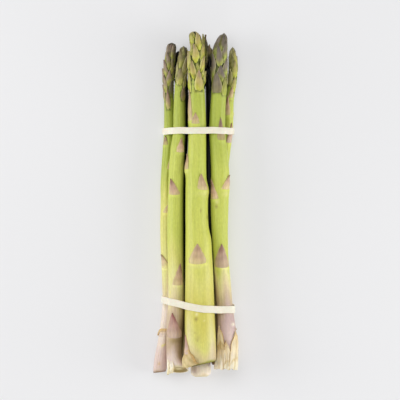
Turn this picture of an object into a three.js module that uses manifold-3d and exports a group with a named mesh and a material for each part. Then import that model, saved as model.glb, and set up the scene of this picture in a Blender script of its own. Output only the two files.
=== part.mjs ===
// A bundle of eight green asparagus spears, laid down and held by two flat rubber bands.
// Millimetres. Y runs along the spears from the feet to the heads, X across the bundle, Z up.
import * as THREE from 'three';
import { mergeVertices } from 'three/addons/utils/BufferGeometryUtils.js';
import Module from 'manifold-3d';

const wasm = await Module();
wasm.setup();

// How finely the solids are faceted
const STEM_SIDES = 12;
const STEM_RING_GAP = 13;
const HEAD_RING_GAP = 7;

// How scales grow: turn from one to the next, and how they stand on the stem
const SPIRAL_TURN = 137.5;
const STEM_SCALE_RISE = 0.9;
const HEAD_SCALE_RISE = 1.2;
const HEAD_SCALE_COUNT = 14;
const LISTED_HEAD_SCALES = 4;
const NEIGHBOUR_GAP = 0.4;
const SEEN_TURN = 104;
const FOOT_REACH = 12;
const SEED = 7;

// Scales that close a tip at its sides and underneath: how far before the tip, and their turn
const TIP_SCALES = [[11, 102], [11, -102], [10, 142], [10, -142]];
const TIP_SCALE_LENGTH = 10;
const TIP_SCALE_RISE = 0.5;

// Bands: thickness, clearance to the spears, and widths
const BAND_THICK = 0.9;
const BAND_CLEAR = 0.3;
const UPPER_BAND_WIDTH = 4.9;
const LOWER_BAND_WIDTH = 5.3;
const BAND_RUN = 6;
const BAND_TURN = 6;
const ARC_STEPS = 48;
const BAND_COLOUR = 0xeee8d4;

// Each spear: stations along it from the foot to the tip, as
// [along, across, up, half width, half depth]. The last station is the tip itself.
// The cut foot slopes across by footSlope and up by footTilt.
// bracts, plates and headScales: [root, point, turn, half width, rise, lean of the point],
// turn in degrees from straight up, positive towards +X.
const SPEARS = [
  {
    name: 'spear_far_left',
    colour: 0xc6c66a,
    footSlope: 0.12,
    footTilt: 0.06,
    headStart: 78,
    stations: [
      [-125.6, -27.0, 6.2, 5.0, 4.9],
      [-114, -25.7, 6.1, 4.9, 4.8],
      [-100, -23.5, 5.9, 4.6, 4.6],
      [-88, -21.9, 5.7, 4.4, 4.5],
      [-74, -20.5, 5.6, 4.3, 4.4],
      [-56, -20.9, 5.7, 4.3, 4.4],
      [-26, -21.8, 5.8, 4.5, 4.5],
      [4, -21.9, 5.8, 4.5, 4.6],
      [14, -22.1, 5.8, 4.5, 4.6],
      [26, -21.5, 5.7, 4.4, 4.5],
      [40, -20.5, 5.6, 4.2, 4.4],
      [54, -19.6, 5.5, 4.1, 4.3],
      [77, -19.9, 6.6, 3.7, 3.8],
      [91, -20.1, 7.9, 3.6, 3.7],
      [101, -19.8, 8.3, 3.7, 3.7],
      [108, -19.3, 8.3, 3.4, 3.4],
      [114, -18.6, 8.2, 3.1, 3.0],
      [118, -18.1, 8.2, 2.7, 2.6],
      [119.7, -18.0, 8.2, 1.9, 1.8],
      [120.3, -17.9, 8.2, 0, 0],
    ],
    bracts: [
      [-47.4, -37.6, -12, 3.9, 1.3, -38],
      [-6.2, 0.6, -6, 2.3, 0.8, 26],
      [26, 38, 40, 3.2, 0.8, 0],
      [44.4, 51, -42, 2.6, 0.8, 0],
    ],
    plates: [
      [-99, -92.6, -14, 5.6, 0.8, 0],
    ],
    headScales: [
      [70.5, 85.8, -10, 2.0, 0.8, -5],
      [76.5, 89, -74, 2.2, 0.9, 0],
      [87, 101, -80, 2.4, 1.3, 6],
      [79.9, 93, 30, 2.4, 0.8, 4],
      [82, 95.6, -42, 2.3, 1.1, -10],
      [88.2, 99.8, -1, 2.6, 1.2, 8],
      [92, 102, 62, 2.2, 0.9, 0],
      [94.8, 107.4, -24, 2.3, 1.3, -44],
      [97.2, 108, 40, 2.0, 1.1, -18],
      [100.2, 112.8, 1, 2.1, 1.3, -28],
      [103.4, 117.6, 66, 2.3, 1.0, -12],
      [104.6, 119.4, -44, 2.5, 1.0, 8],
      [107, 119.7, 30, 2.2, 1.1, 0],
      [109.4, 119.9, -6, 1.7, 0.8, 0],
    ],
  },
  {
    name: 'spear_left',
    colour: 0xc4c465,
    footSlope: -0.02,
    footTilt: 0.46,
    headStart: 80,
    stations: [
      [-122.9, -12.8, 17.3, 8.0, 6.9],
      [-119.5, -13.9, 18.0, 7.2, 6.8],
      [-114, -15.6, 18.5, 6.3, 6.4],
      [-106, -15.8, 18.5, 6.1, 6.2],
      [-97, -15.4, 18.4, 6.2, 6.2],
      [-85, -14.8, 18.3, 6.4, 6.4],
      [-74, -14.2, 18.4, 6.2, 6.4],
      [-56, -14.3, 17.9, 6.1, 6.2],
      [-26, -15.0, 17.1, 6.1, 6.1],
      [3, -14.8, 16.8, 6.1, 6.1],
      [40, -13.3, 15.6, 5.4, 5.4],
      [54, -12.1, 14.8, 4.8, 4.8],
      [68, -12.1, 14.5, 4.5, 4.5],
      [84, -11.9, 14.5, 3.8, 3.9],
      [92, -11.2, 14.5, 3.6, 3.7],
      [101, -10.3, 14.7, 3.5, 3.5],
      [108, -9.6, 14.9, 3.1, 3.1],
      [113, -9.2, 15.0, 2.5, 2.5],
      [115.8, -9.1, 15.0, 1.8, 1.8],
      [117.2, -9.1, 15.0, 0, 0],
    ],
    bracts: [
      [-97.8, -80.2, -2, 6.6, 0.9, -23],
      [-59.2, -43.7, 12, 4.3, 0.9, 18],
      [7.4, 18.8, -11, 4.7, 1.0, -30],
      [38.6, 49, 22, 3.4, 0.8, 0],
    ],
    plates: [
      [-126.4, -115.4, -72, 2.4, 0.8, 8],
      [-126.8, -117.2, -40, 2.2, 0.8, 6],
    ],
    headScales: [
      [76.6, 87.3, 46, 2.6, 0.9, -7],
      [85.1, 97.7, 62, 2.2, 0.9, -10],
      [88.2, 101, 1, 3.4, 1.0, -15],
      [90.6, 105, -58, 2.3, 1.0, 0],
      [96, 109.2, 32, 2.5, 1.5, 4],
      [100.4, 114.6, -14, 2.5, 1.3, -20],
      [102.1, 113, 66, 1.8, 1.0, 0],
      [104.4, 117, 40, 2.3, 1.1, -18],
      [106.6, 116.6, -40, 2.0, 0.8, 10],
      [107.7, 117.2, 9, 1.6, 1.2, -16],
    ],
  },
  {
    name: 'spear_middle',
    colour: 0xc8cf58,
    footSlope: 0.23,
    footTilt: 0.1,
    headStart: 78,
    stations: [
      [-118.2, 3.9, 25.4, 11.1, 9.4],
      [-111, 3.9, 25.1, 11.2, 9.4],
      [-100, 3.7, 24.5, 11.1, 9.4],
      [-89, 3.2, 23.8, 11.1, 9.3],
      [-74, 2.9, 23.0, 10.9, 9.1],
      [-52, 2.5, 22.4, 10.2, 8.7],
      [-40, 2.2, 22.1, 9.8, 8.4],
      [-26, 1.8, 21.7, 9.5, 8.3],
      [-18, 1.0, 21.3, 8.7, 8.0],
      [-10, 0.7, 21.0, 8.4, 7.8],
      [3, 0.8, 20.6, 8.3, 7.6],
      [10, 1.2, 20.3, 8.6, 7.6],
      [18, 0.4, 19.9, 7.7, 7.3],
      [26, 0, 19.5, 7.8, 7.2],
      [35, 0.8, 19.0, 7.0, 6.9],
      [54, 1.0, 17.9, 6.6, 6.3],
      [77, 0.7, 18.6, 6.0, 5.7],
      [92, 0.6, 19.8, 5.2, 5.1],
      [106, 0.5, 20.6, 4.8, 4.8],
      [114, 0.7, 21.0, 4.0, 4.0],
      [121, -0.2, 21.0, 3.3, 3.2],
      [125, -0.9, 21.0, 2.8, 2.6],
      [126.7, -1.1, 21.0, 2.0, 1.9],
      [127.4, -1.2, 21.0, 0, 0],
    ],
    bracts: [
      [-43, -29, -8, 7.2, 0.9, 4],
      [11, 22.4, 33, 4.8, 1.2, -6],
      [26, 37, -70, 4.0, 1.1, 0],
      [59.6, 67.6, -10, 3.2, 0.8, 0],
      [62, 85, -62, 3.6, 0.8, 0],
    ],
    plates: [
      [-117.4, -96.2, -56, 6.0, 1.6, -20],
      [-117.5, -107.2, -49, 9.6, 3.9, -19],
    ],
    headScales: [
      [82.6, 98.4, -69, 2.6, 1.4, -2],
      [83.6, 99, 23, 4.1, 1.6, -8],
      [87, 98, 66, 2.2, 1.9, 10],
      [92.7, 105.4, -20, 2.8, 2.3, -11],
      [95.6, 104, 6, 2.2, 1.0, 0],
      [97.2, 109.2, 51, 3.0, 2.0, 3],
      [97.4, 112.8, -62, 2.8, 2.3, -8],
      [104.7, 118.4, -3, 2.9, 2.4, -18],
      [105.4, 117.8, 50, 2.7, 1.9, 22],
      [109.6, 119.6, -56, 2.0, 1.4, 0],
      [93.4, 100.8, 50, 1.4, 1.8, 8],
      [99.6, 106, -40, 1.4, 1.6, 0],
      [107.4, 113, 22, 1.3, 1.3, 0],
      [113.8, 127.6, 23, 2.8, 1.9, 10],
      [115.2, 125, 72, 2.0, 1.4, -6],
      [116.6, 127.3, -50, 2.5, 1.5, -4],
      [118.6, 126.2, -78, 1.5, 1.4, 8],
      [122.4, 127.4, -8, 1.6, 1.6, -24],
    ],
  },
  {
    name: 'spear_right',
    colour: 0xc6c46c,
    footSlope: 0,
    footTilt: 0.05,
    headStart: 83,
    stations: [
      [-121.4, 22.1, 20.0, 8.5, 7.5],
      [-116, 22.7, 19.7, 7.9, 7.3],
      [-108, 22.9, 19.3, 7.7, 7.3],
      [-97, 22.8, 18.7, 7.4, 7.2],
      [-85, 21.9, 17.8, 6.7, 6.8],
      [-74, 20.9, 17.0, 6.2, 6.4],
      [-56, 19.6, 17.0, 5.9, 6.1],
      [-41, 18.5, 17.1, 5.8, 6.1],
      [-20, 17.8, 17.2, 6.1, 6.3],
      [3, 17.7, 17.4, 6.6, 6.7],
      [11, 17.9, 17.3, 6.9, 6.8],
      [24, 17.9, 17.0, 6.8, 6.8],
      [33, 17.4, 16.8, 6.6, 6.7],
      [42, 16.7, 16.5, 6.2, 6.5],
      [54, 15.9, 16.2, 5.9, 6.2],
      [70, 16.4, 16.4, 5.7, 5.9],
      [84, 17.2, 16.8, 5.6, 5.6],
      [97, 17.5, 17.0, 5.4, 5.5],
      [107, 17.8, 17.2, 5.5, 5.5],
      [114, 17.9, 17.4, 4.9, 5.0],
      [119, 18.7, 17.5, 4.0, 4.1],
      [123, 19.6, 17.5, 2.8, 2.9],
      [125.2, 20.3, 17.5, 1.6, 1.7],
      [126.2, 20.6, 17.5, 0, 0],
    ],
    bracts: [
      [-46, -29.4, 6, 6.8, 0.9, 4],
      [4.2, 18.2, -38, 3.7, 1.0, -22],
      [11.4, 21.5, 40, 4.3, 1.2, 22],
      [47.6, 64, 30, 3.4, 0.6, -8],
    ],
    plates: [
      [-121.6, -105.5, -45, 6.2, 1.0, 8],
      [-106.8, -90.2, -34, 3.4, 1.2, -5],
      [-121.6, -100.2, 10, 3.6, 0.9, -17],
      [-122, -94.2, 60, 7.2, 1.2, -10],
    ],
    headScales: [
      [80.4, 93.6, 48, 3.0, 1.0, -4],
      [82.4, 97.2, -22, 4.8, 1.1, 2],
      [90.4, 102.4, 10, 4.2, 1.1, -3],
      [94.4, 107.6, 50, 3.0, 1.1, -2],
      [94.4, 111, -62, 3.2, 1.1, 8],
      [102.2, 117, 3, 2.9, 1.3, -18],
      [104.8, 120, 28, 2.9, 1.2, 20],
      [104, 122.4, -72, 2.8, 1.0, 20],
      [108.2, 126.2, -40, 3.0, 1.1, 12],
      [111, 126.6, 58, 2.2, 1.1, 6],
      [112.6, 126.6, 11, 2.3, 1.2, 14],
      [113.4, 126.4, -14, 1.8, 1.0, 8],
    ],
  },
  {
    name: 'spear_far_right',
    colour: 0xb4bc52,
    footSlope: 0,
    footTilt: 0.05,
    headStart: 84,
    stations: [
      [-119, 26.8, 5.4, 4.1, 4.1],
      [-93, 23.9, 5.3, 4.1, 4.1],
      [-74, 22.3, 5.2, 4.0, 4.0],
      [-56, 21.0, 5.1, 4.0, 4.0],
      [-26, 20.2, 5.1, 3.9, 3.9],
      [3, 19.6, 5.0, 3.8, 3.8],
      [27, 20.5, 4.9, 3.7, 3.7],
      [41, 22.2, 4.9, 3.7, 3.7],
      [54, 24.0, 4.9, 3.7, 3.7],
      [67, 24.8, 5.1, 3.5, 3.5],
      [77, 25.3, 5.4, 3.2, 3.3],
      [86, 26.5, 5.7, 3.1, 3.1],
      [94, 27.4, 6.1, 3.2, 3.2],
      [102, 27.8, 6.5, 3.0, 3.0],
      [108, 27.7, 6.8, 2.6, 2.6],
      [113.4, 27.4, 6.9, 1.7, 1.7],
      [117.4, 27.6, 7.0, 0, 0],
    ],
    bracts: [
      [46, 60.5, 34, 2.6, 0.6, 0],
      [66.6, 80.8, -26, 2.6, 0.7, 0],
      [79.5, 88.2, 8, 2.4, 0.9, 0],
    ],
    plates: [],
    headScales: [
      [83.6, 94.9, 36, 2.4, 1.0, -14],
      [88, 101, -27, 2.4, 1.0, -5],
      [94, 107, 30, 2.7, 1.1, -9],
      [99.2, 114.4, 42, 2.4, 1.0, -6],
      [100, 112, -6, 2.0, 1.0, 4],
      [102.1, 117.4, -36, 2.2, 0.9, 6],
      [108.5, 117, 13, 1.7, 0.8, 6],
    ],
  },
  {
    name: 'spear_behind_left',
    colour: 0xb9bf5a,
    footSlope: 0.05,
    footTilt: 0.04,
    headStart: 78,
    stations: [
      [-115, -11.0, 6.8, 5.4, 5.4],
      [-93, -11.6, 6.7, 5.3, 5.3],
      [-74, -10.8, 6.6, 5.1, 5.1],
      [-26, -11.7, 6.3, 4.8, 4.8],
      [3, -12.0, 6.0, 4.5, 4.5],
      [27, -11.4, 5.8, 4.4, 4.4],
      [41, -10.4, 5.6, 4.4, 4.3],
      [54, -9.8, 5.4, 4.3, 4.1],
      [78, -9.6, 5.0, 4.0, 3.8],
      [88, -10.2, 5.0, 3.9, 3.7],
      [97, -11.6, 5.0, 3.6, 3.5],
      [104, -12.5, 5.1, 3.2, 3.1],
      [110, -13.0, 5.3, 2.3, 2.3],
      [114.8, -13.2, 5.6, 0, 0],
    ],
    bracts: [],
    plates: [],
    headScales: [],
  },
  {
    name: 'spear_behind_middle',
    colour: 0xc6c36c,
    footSlope: 0.02,
    footTilt: 0.1,
    headStart: 80,
    stations: [
      [-128.8, 3.8, 8.6, 5.6, 5.4],
      [-127.8, 3.8, 8.6, 6.9, 6.7],
      [-124, 3.8, 8.6, 7.5, 7.2],
      [-117, 3.6, 8.4, 7.2, 7.0],
      [-93, 1.6, 7.8, 6.5, 6.5],
      [-74, 0.8, 7.4, 6.1, 6.1],
      [-26, -0.6, 7.1, 5.8, 5.8],
      [3, -1.1, 6.9, 5.6, 5.6],
      [27, -1.1, 6.6, 5.4, 5.4],
      [41, -0.4, 6.4, 5.2, 5.2],
      [54, 0.4, 6.1, 4.9, 4.9],
      [80, 1.2, 7.3, 4.3, 4.1],
      [100, 4.0, 9.4, 3.3, 3.3],
      [113, 5.7, 9.8, 2.6, 2.6],
      [119, 6.0, 9.6, 1.9, 1.9],
      [123.6, 6.1, 9.6, 0, 0],
    ],
    bracts: [],
    plates: [],
    headScales: [
      [108, 126.6, -14, 2.7, 1.3, -8],
      [114, 126.2, 52, 1.4, 1.2, 30],
      [111, 121.6, 34, 2.4, 1.1, 0],
    ],
  },
  {
    name: 'spear_behind_right',
    colour: 0xb9bf5a,
    footSlope: -0.03,
    footTilt: 0.04,
    headStart: 80,
    stations: [
      [-120, 17.0, 6.7, 5.1, 5.1],
      [-93, 13.9, 6.7, 5.2, 5.2],
      [-74, 12.5, 6.6, 5.2, 5.2],
      [-26, 10.8, 6.4, 5.1, 5.1],
      [3, 10.1, 6.2, 5.1, 5.1],
      [27, 9.8, 6.0, 4.9, 4.9],
      [41, 10.4, 5.9, 4.7, 4.7],
      [54, 12.0, 5.7, 4.5, 4.5],
      [80, 11.4, 5.1, 4.0, 3.9],
      [98, 11.0, 4.9, 3.5, 3.4],
      [109, 10.6, 5.1, 2.7, 2.6],
      [114, 10.4, 5.3, 2.0, 2.0],
      [118, 10.1, 5.5, 0, 0],
    ],
    bracts: [],
    plates: [],
    headScales: [
      [109, 119.4, -16, 2.3, 1.2, 6],
      [110, 118.6, 42, 2.0, 1.1, -6],
    ],
  },
];

// Values along a spear, on a smooth curve through its stations
function valueAt(stations, along, column) {
  const last = stations.length - 1;
  let i = 0;
  while (i < last - 1 && stations[i + 1][0] < along) i += 1;
  const slope = (k) => {
    const before = stations[Math.max(k - 1, 0)];
    const after = stations[Math.min(k + 1, last)];
    return (after[column] - before[column]) / (after[0] - before[0]);
  };
  const [start, end] = [stations[i], stations[i + 1]];
  const span = end[0] - start[0];
  const t = Math.min(Math.max((along - start[0]) / span, 0), 1);
  const ease = t * t * (3 - 2 * t);
  return start[column] * (1 - ease) + end[column] * ease
    + span * (slope(i) * t * (1 - t) ** 2 - slope(i + 1) * t * t * (1 - t));
}

// A point on a spear's skin, or standing out from it, slanted near the foot as the cut is
function skinPoint(spear, along, turn, out) {
  const angle = THREE.MathUtils.degToRad(turn);
  const foot = spear.stations[0][0];
  const across = (Math.max(valueAt(spear.stations, along, 3), 0) + out) * Math.sin(angle);
  const up = (Math.max(valueAt(spear.stations, along, 4), 0) + out) * Math.cos(angle);
  const nearFoot = 1 - THREE.MathUtils.smoothstep(along, foot, foot + FOOT_REACH);
  return new THREE.Vector3(
    valueAt(spear.stations, along, 1) + across,
    along + nearFoot * (spear.footSlope * across + spear.footTilt * up),
    valueAt(spear.stations, along, 2) + up,
  );
}

function solidFrom(points, faces) {
  const geometry = new THREE.BufferGeometry();
  const flat = points.flatMap((point) => [point.x, point.y, point.z]);
  geometry.setAttribute('position', new THREE.Float32BufferAttribute(flat, 3));
  geometry.setIndex(faces);
  const merged = mergeVertices(geometry);
  return new wasm.Manifold(new wasm.Mesh({
    numProp: 3,
    vertProperties: merged.attributes.position.array,
    triVerts: new Uint32Array(merged.index.array),
  }));
}

function geometryOf(solid) {
  const mesh = solid.getMesh();
  const geometry = new THREE.BufferGeometry();
  geometry.setAttribute('position', new THREE.BufferAttribute(mesh.vertProperties, 3));
  geometry.setIndex(new THREE.BufferAttribute(mesh.triVerts, 1));
  geometry.computeVertexNormals();
  return geometry;
}

// Rings of points, each joined to the next, with a fan at each end
function loft(rings, startPoint, endPoint) {
  const sides = rings[0].length;
  const points = [startPoint, ...rings.flat(), endPoint];
  const faces = [];
  for (let side = 0; side < sides; side += 1) {
    const next = (side + 1) % sides;
    faces.push(0, 1 + next, 1 + side);
    for (let ring = 0; ring < rings.length - 1; ring += 1) {
      const low = 1 + ring * sides;
      const high = low + sides;
      faces.push(low + side, high + next, high + side);
      faces.push(low + side, low + next, high + next);
    }
    const top = 1 + (rings.length - 1) * sides;
    faces.push(top + side, top + next, points.length - 1);
  }
  return solidFrom(points, faces);
}

// The stem of a spear with its cut foot and the slim core of its head
function stem(spear) {
  const foot = spear.stations[0][0];
  const tip = spear.stations.at(-1)[0];
  const alongs = [];
  for (let along = foot; along < tip - 1;) {
    alongs.push(along);
    along += along < spear.headStart ? STEM_RING_GAP : HEAD_RING_GAP;
  }
  const rings = alongs.map((along) => {
    const ring = [];
    for (let side = 0; side < STEM_SIDES; side += 1) {
      ring.push(skinPoint(spear, along, (360 * side) / STEM_SIDES, 0));
    }
    return ring;
  });
  return loft(rings, skinPoint(spear, foot, 0, -spear.stations[0][4]), skinPoint(spear, tip, 0, 0));
}

// One scale: a shield raised on the skin, drawn in to a root on the spear's middle line.
// outline gives its half width, and swell its rise, from the root edge to the point.
function scaleSolid(spear, [root, point, turn, half, rise, lean], outline, swell) {
  const acrossSteps = [-1, -0.4, 0.4, 1];
  const points = [];
  const rows = outline.length;
  for (let row = 0; row < rows; row += 1) {
    const share = row / rows;
    const along = root + (point - root) * share;
    const radius = Math.max(valueAt(spear.stations, along, 3) + rise, 1.2);
    const halfTurn = THREE.MathUtils.radToDeg((half * outline[row]) / radius);
    for (const step of acrossSteps) {
      const out = rise * swell[row] * (1 - 0.45 * step * step);
      points.push(skinPoint(spear, along, turn + lean * share + step * halfTurn, out));
    }
  }
  const apex = points.length;
  points.push(skinPoint(spear, point, turn + lean, rise * swell.at(-1)));
  const middle = root + (point - root) * 0.45;
  const heart = points.length;
  points.push(skinPoint(spear, middle, turn, -0.8 * valueAt(spear.stations, middle, 3)));
  const columns = acrossSteps.length;
  const faces = [];
  const topRow = (rows - 1) * columns;
  for (let column = 0; column < columns - 1; column += 1) {
    for (let row = 0; row < rows - 1; row += 1) {
      const corner = row * columns + column;
      faces.push(corner, corner + columns + 1, corner + columns);
      faces.push(corner, corner + 1, corner + columns + 1);
    }
    faces.push(topRow + column, topRow + column + 1, apex);
    faces.push(column, heart, column + 1);
  }
  for (let row = 0; row < rows - 1; row += 1) {
    const left = row * columns;
    const right = left + columns - 1;
    faces.push(left, left + columns, heart);
    faces.push(right, heart, right + columns);
  }
  faces.push(topRow, apex, heart);
  faces.push(topRow + columns - 1, heart, apex);
  return solidFrom(points, faces);
}

// Bracts are flat triangles, plates long with blunt tops, head scales plump and round at the root
const BRACT_OUTLINE = [1, 0.62];
const BRACT_SWELL = [1, 0.95, 0.75];
const PLATE_OUTLINE = [1, 0.92, 0.7];
const PLATE_SWELL = [0.9, 1, 1.1, 1.2];
const HEAD_OUTLINE = [0.74, 1, 0.7];
const HEAD_SWELL = [0.8, 1, 0.85, 0.5];

// Whether a scale would be pressed against a neighbouring spear
function isPressed(spear, [root, point, turn, half, rise]) {
  const others = SPEARS.filter((other) => other !== spear);
  for (let share = 0; share <= 1; share += 0.25) {
    const along = root + (point - root) * share;
    const sideTurn = THREE.MathUtils.radToDeg((half * (1 - share)) / valueAt(spear.stations, along, 3));
    for (const side of [-sideTurn, 0, sideTurn]) {
      const place = skinPoint(spear, along, turn + side, rise);
      for (const other of others) {
        const wide = valueAt(other.stations, along, 3) + NEIGHBOUR_GAP;
        const deep = valueAt(other.stations, along, 4) + NEIGHBOUR_GAP;
        const x = (place.x - valueAt(other.stations, along, 1)) / wide;
        const z = (place.z - valueAt(other.stations, along, 2)) / deep;
        if (x * x + z * z < 1) return true;
      }
    }
  }
  return false;
}

// Half the width of a head scale whose root is at a place along a spear
function headScaleHalf(spear, along) {
  return 0.9 + 0.42 * valueAt(spear.stations, along, 3);
}

// The scales that the listed ones leave out: behind, and all round on spears that list none
function grownScales(spear, draw) {
  const hidden = spear.headScales.length < LISTED_HEAD_SCALES;
  const underBand = ([root, point]) => bands.some((band) => {
    const [low, high] = band.reach;
    return point > low && root < high;
  });
  const kept = (scale) => (
    (hidden || Math.abs(scale[2]) > SEEN_TURN) && !underBand(scale) && !isPressed(spear, scale)
  );
  const scales = { stem: [], head: [] };
  const tip = spear.stations.at(-1)[0];
  const foot = spear.stations[0][0];
  let turn = 360 * draw();
  for (let along = foot + 16; along < spear.headStart - 14; along += 22 + 5 * draw()) {
    turn = THREE.MathUtils.euclideanModulo(turn + SPIRAL_TURN + 180, 360) - 180;
    const half = 0.62 * valueAt(spear.stations, along, 3);
    const scale = [along, along + 11 + 2 * draw(), turn, half, STEM_SCALE_RISE, 0];
    if (kept(scale)) scales.stem.push(scale);
  }
  for (let i = 0; i < HEAD_SCALE_COUNT; i += 1) {
    turn = THREE.MathUtils.euclideanModulo(turn + SPIRAL_TURN + 180, 360) - 180;
    const share = i / HEAD_SCALE_COUNT;
    const along = spear.headStart + (tip - spear.headStart - 7) * share ** 0.9;
    const half = headScaleHalf(spear, along);
    const point = Math.min(along + 13 - 5 * share, tip + 0.6);
    const scale = [along, point, turn, half, HEAD_SCALE_RISE * (1 - 0.4 * share), 0];
    if (kept(scale)) scales.head.push(scale);
  }
  for (const [before, side] of TIP_SCALES) {
    const along = tip - before;
    const half = headScaleHalf(spear, along);
    const point = Math.min(along + TIP_SCALE_LENGTH, tip - 1);
    const scale = [along, point, side, half, TIP_SCALE_RISE, 0];
    if (!hidden && !isPressed(spear, scale)) scales.head.push(scale);
  }
  return scales;
}

function makeSpear(spear, draw) {
  const grown = grownScales(spear, draw);
  let solid = stem(spear);
  for (const scale of [...spear.bracts, ...grown.stem]) {
    solid = solid.add(scaleSolid(spear, scale, BRACT_OUTLINE, BRACT_SWELL));
  }
  for (const plate of spear.plates) {
    solid = solid.add(scaleSolid(spear, plate, PLATE_OUTLINE, PLATE_SWELL));
  }
  for (const scale of [...spear.headScales, ...grown.head]) {
    solid = solid.add(scaleSolid(spear, scale, HEAD_OUTLINE, HEAD_SWELL));
  }
  return solid.decompose().sort((a, b) => b.volume() - a.volume())[0];
}

// Seeded draws, the same on every run
function seededDraw(seed) {
  let state = seed;
  return () => {
    state = (state * 16807) % 2147483647;
    return state / 2147483647;
  };
}

// Where each band lies along the spears, for a place across the bundle
const bands = [
  {
    name: 'band_upper',
    width: UPPER_BAND_WIDTH,
    reach: [50, 59],
    over: () => 54.2,
    under: () => 54.2,
  },
  {
    name: 'band_lower',
    width: LOWER_BAND_WIDTH,
    reach: [-83, -66],
    over: (across) => -77.9 + 0.106 * (8 - across + Math.hypot(8 - across, 8)),
    under: (across) => -74.2 - 0.12 * across,
  },
];

// The outline of all the spears where a band crosses them, drawn tight as a band draws itself
function outlineUnder(band, solids) {
  const points = [];
  for (const solid of solids) {
    const { vertProperties, triVerts } = solid.getMesh();
    const corner = (i) => new THREE.Vector3().fromArray(vertProperties, 3 * i);
    for (let i = 0; i < triVerts.length; i += 3) {
      for (const [from, to] of [[0, 1], [1, 2], [2, 0]]) {
        const [start, end] = [corner(triVerts[i + from]), corner(triVerts[i + to])];
        for (let share = 0; share <= 1; share += 0.125) {
          const point = start.clone().lerp(end, share);
          const middles = [band.over(point.x), band.under(point.x)];
          const near = middles.some((middle) => Math.abs(point.y - middle) < band.width);
          if (near) points.push(new THREE.Vector2(point.x, point.z));
        }
      }
    }
  }
  return convexHull(points);
}

function convexHull(points) {
  const sorted = [...points].sort((a, b) => a.x - b.x || a.y - b.y);
  const turnOf = (a, b, c) => (b.x - a.x) * (c.y - a.y) - (b.y - a.y) * (c.x - a.x);
  const half = (list) => {
    const kept = [];
    for (const point of list) {
      while (kept.length > 1 && turnOf(kept.at(-2), kept.at(-1), point) <= 0) kept.pop();
      kept.push(point);
    }
    return kept.slice(0, -1);
  };
  return [...half(sorted), ...half(sorted.reverse())];
}

// A hull moved out by a distance, with a point wherever it has turned or run on a little
function offsetLoop(hull, distance) {
  const round = [];
  for (const point of hull) {
    for (let i = 0; i < ARC_STEPS; i += 1) {
      const angle = (2 * Math.PI * i) / ARC_STEPS;
      const out = new THREE.Vector2(Math.cos(angle), Math.sin(angle)).multiplyScalar(distance);
      round.push(out.add(point));
    }
  }
  const wide = convexHull(round);
  const fine = wide.flatMap((point, i) => {
    const next = wide[(i + 1) % wide.length];
    const parts = Math.ceil(point.distanceTo(next) / (BAND_RUN / 4));
    return Array.from({ length: parts }, (_, k) => point.clone().lerp(next, k / parts));
  });
  const loop = [fine[0]];
  let heading = 0;
  for (let i = 1; i < fine.length; i += 1) {
    const ahead = fine[(i + 1) % fine.length].clone().sub(fine[i]);
    const back = fine[i].clone().sub(fine[i - 1]);
    heading += Math.abs(back.cross(ahead)) / (back.length() * ahead.length());
    const turned = heading > THREE.MathUtils.degToRad(BAND_TURN);
    if (turned || fine[i].distanceTo(loop.at(-1)) > BAND_RUN) {
      loop.push(fine[i]);
      heading = 0;
    }
  }
  return loop;
}

// A band: a flat strip round the outline of the spears, with a flat stretch underneath
function makeBand(band, solids) {
  const inner = offsetLoop(outlineUnder(band, solids), BAND_CLEAR);
  const heights = inner.map((point) => point.y);
  const [low, high] = [Math.min(...heights), Math.max(...heights)];
  const points = [];
  inner.forEach((point, i) => {
    const before = inner.at(i - 1);
    const after = inner[(i + 1) % inner.length];
    const along = after.clone().sub(before).normalize();
    const outer = new THREE.Vector2(point.x + BAND_THICK * along.y, point.y - BAND_THICK * along.x);
    const onTop = THREE.MathUtils.smoothstep(point.y, low + 0.2 * (high - low), low + 0.8 * (high - low));
    const middle = THREE.MathUtils.lerp(band.under(point.x), band.over(point.x), onTop);
    for (const side of [-0.5, 0.5]) {
      const y = middle + side * band.width;
      points.push(new THREE.Vector3(point.x, y, Math.max(point.y, BAND_THICK)));
      points.push(new THREE.Vector3(outer.x, y, Math.max(outer.y, 0)));
    }
  });
  const faces = [];
  const quad = (a, b, c, d) => faces.push(a, c, b, a, d, c);
  for (let i = 0; i < inner.length; i += 1) {
    const here = 4 * i;
    const next = 4 * ((i + 1) % inner.length);
    quad(here, here + 2, next + 2, next);
    quad(here + 1, next + 1, next + 3, here + 3);
    quad(here, next, next + 1, here + 1);
    quad(here + 2, here + 3, next + 3, next + 2);
  }
  return solidFrom(points, faces);
}

function meshOf(solid, name, colour, roughness) {
  const material = new THREE.MeshStandardMaterial({ color: colour, roughness, metalness: 0 });
  const mesh = new THREE.Mesh(geometryOf(solid), material);
  mesh.name = name;
  return mesh;
}

const bundle = new THREE.Group();
const draw = seededDraw(SEED);
const spearSolids = SPEARS.map((spear) => makeSpear(spear, draw));
SPEARS.forEach((spear, i) => bundle.add(meshOf(spearSolids[i], spear.name, spear.colour, 0.55)));
for (const band of bands) {
  bundle.add(meshOf(makeBand(band, spearSolids), band.name, BAND_COLOUR, 0.7));
}

export default bundle;
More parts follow.
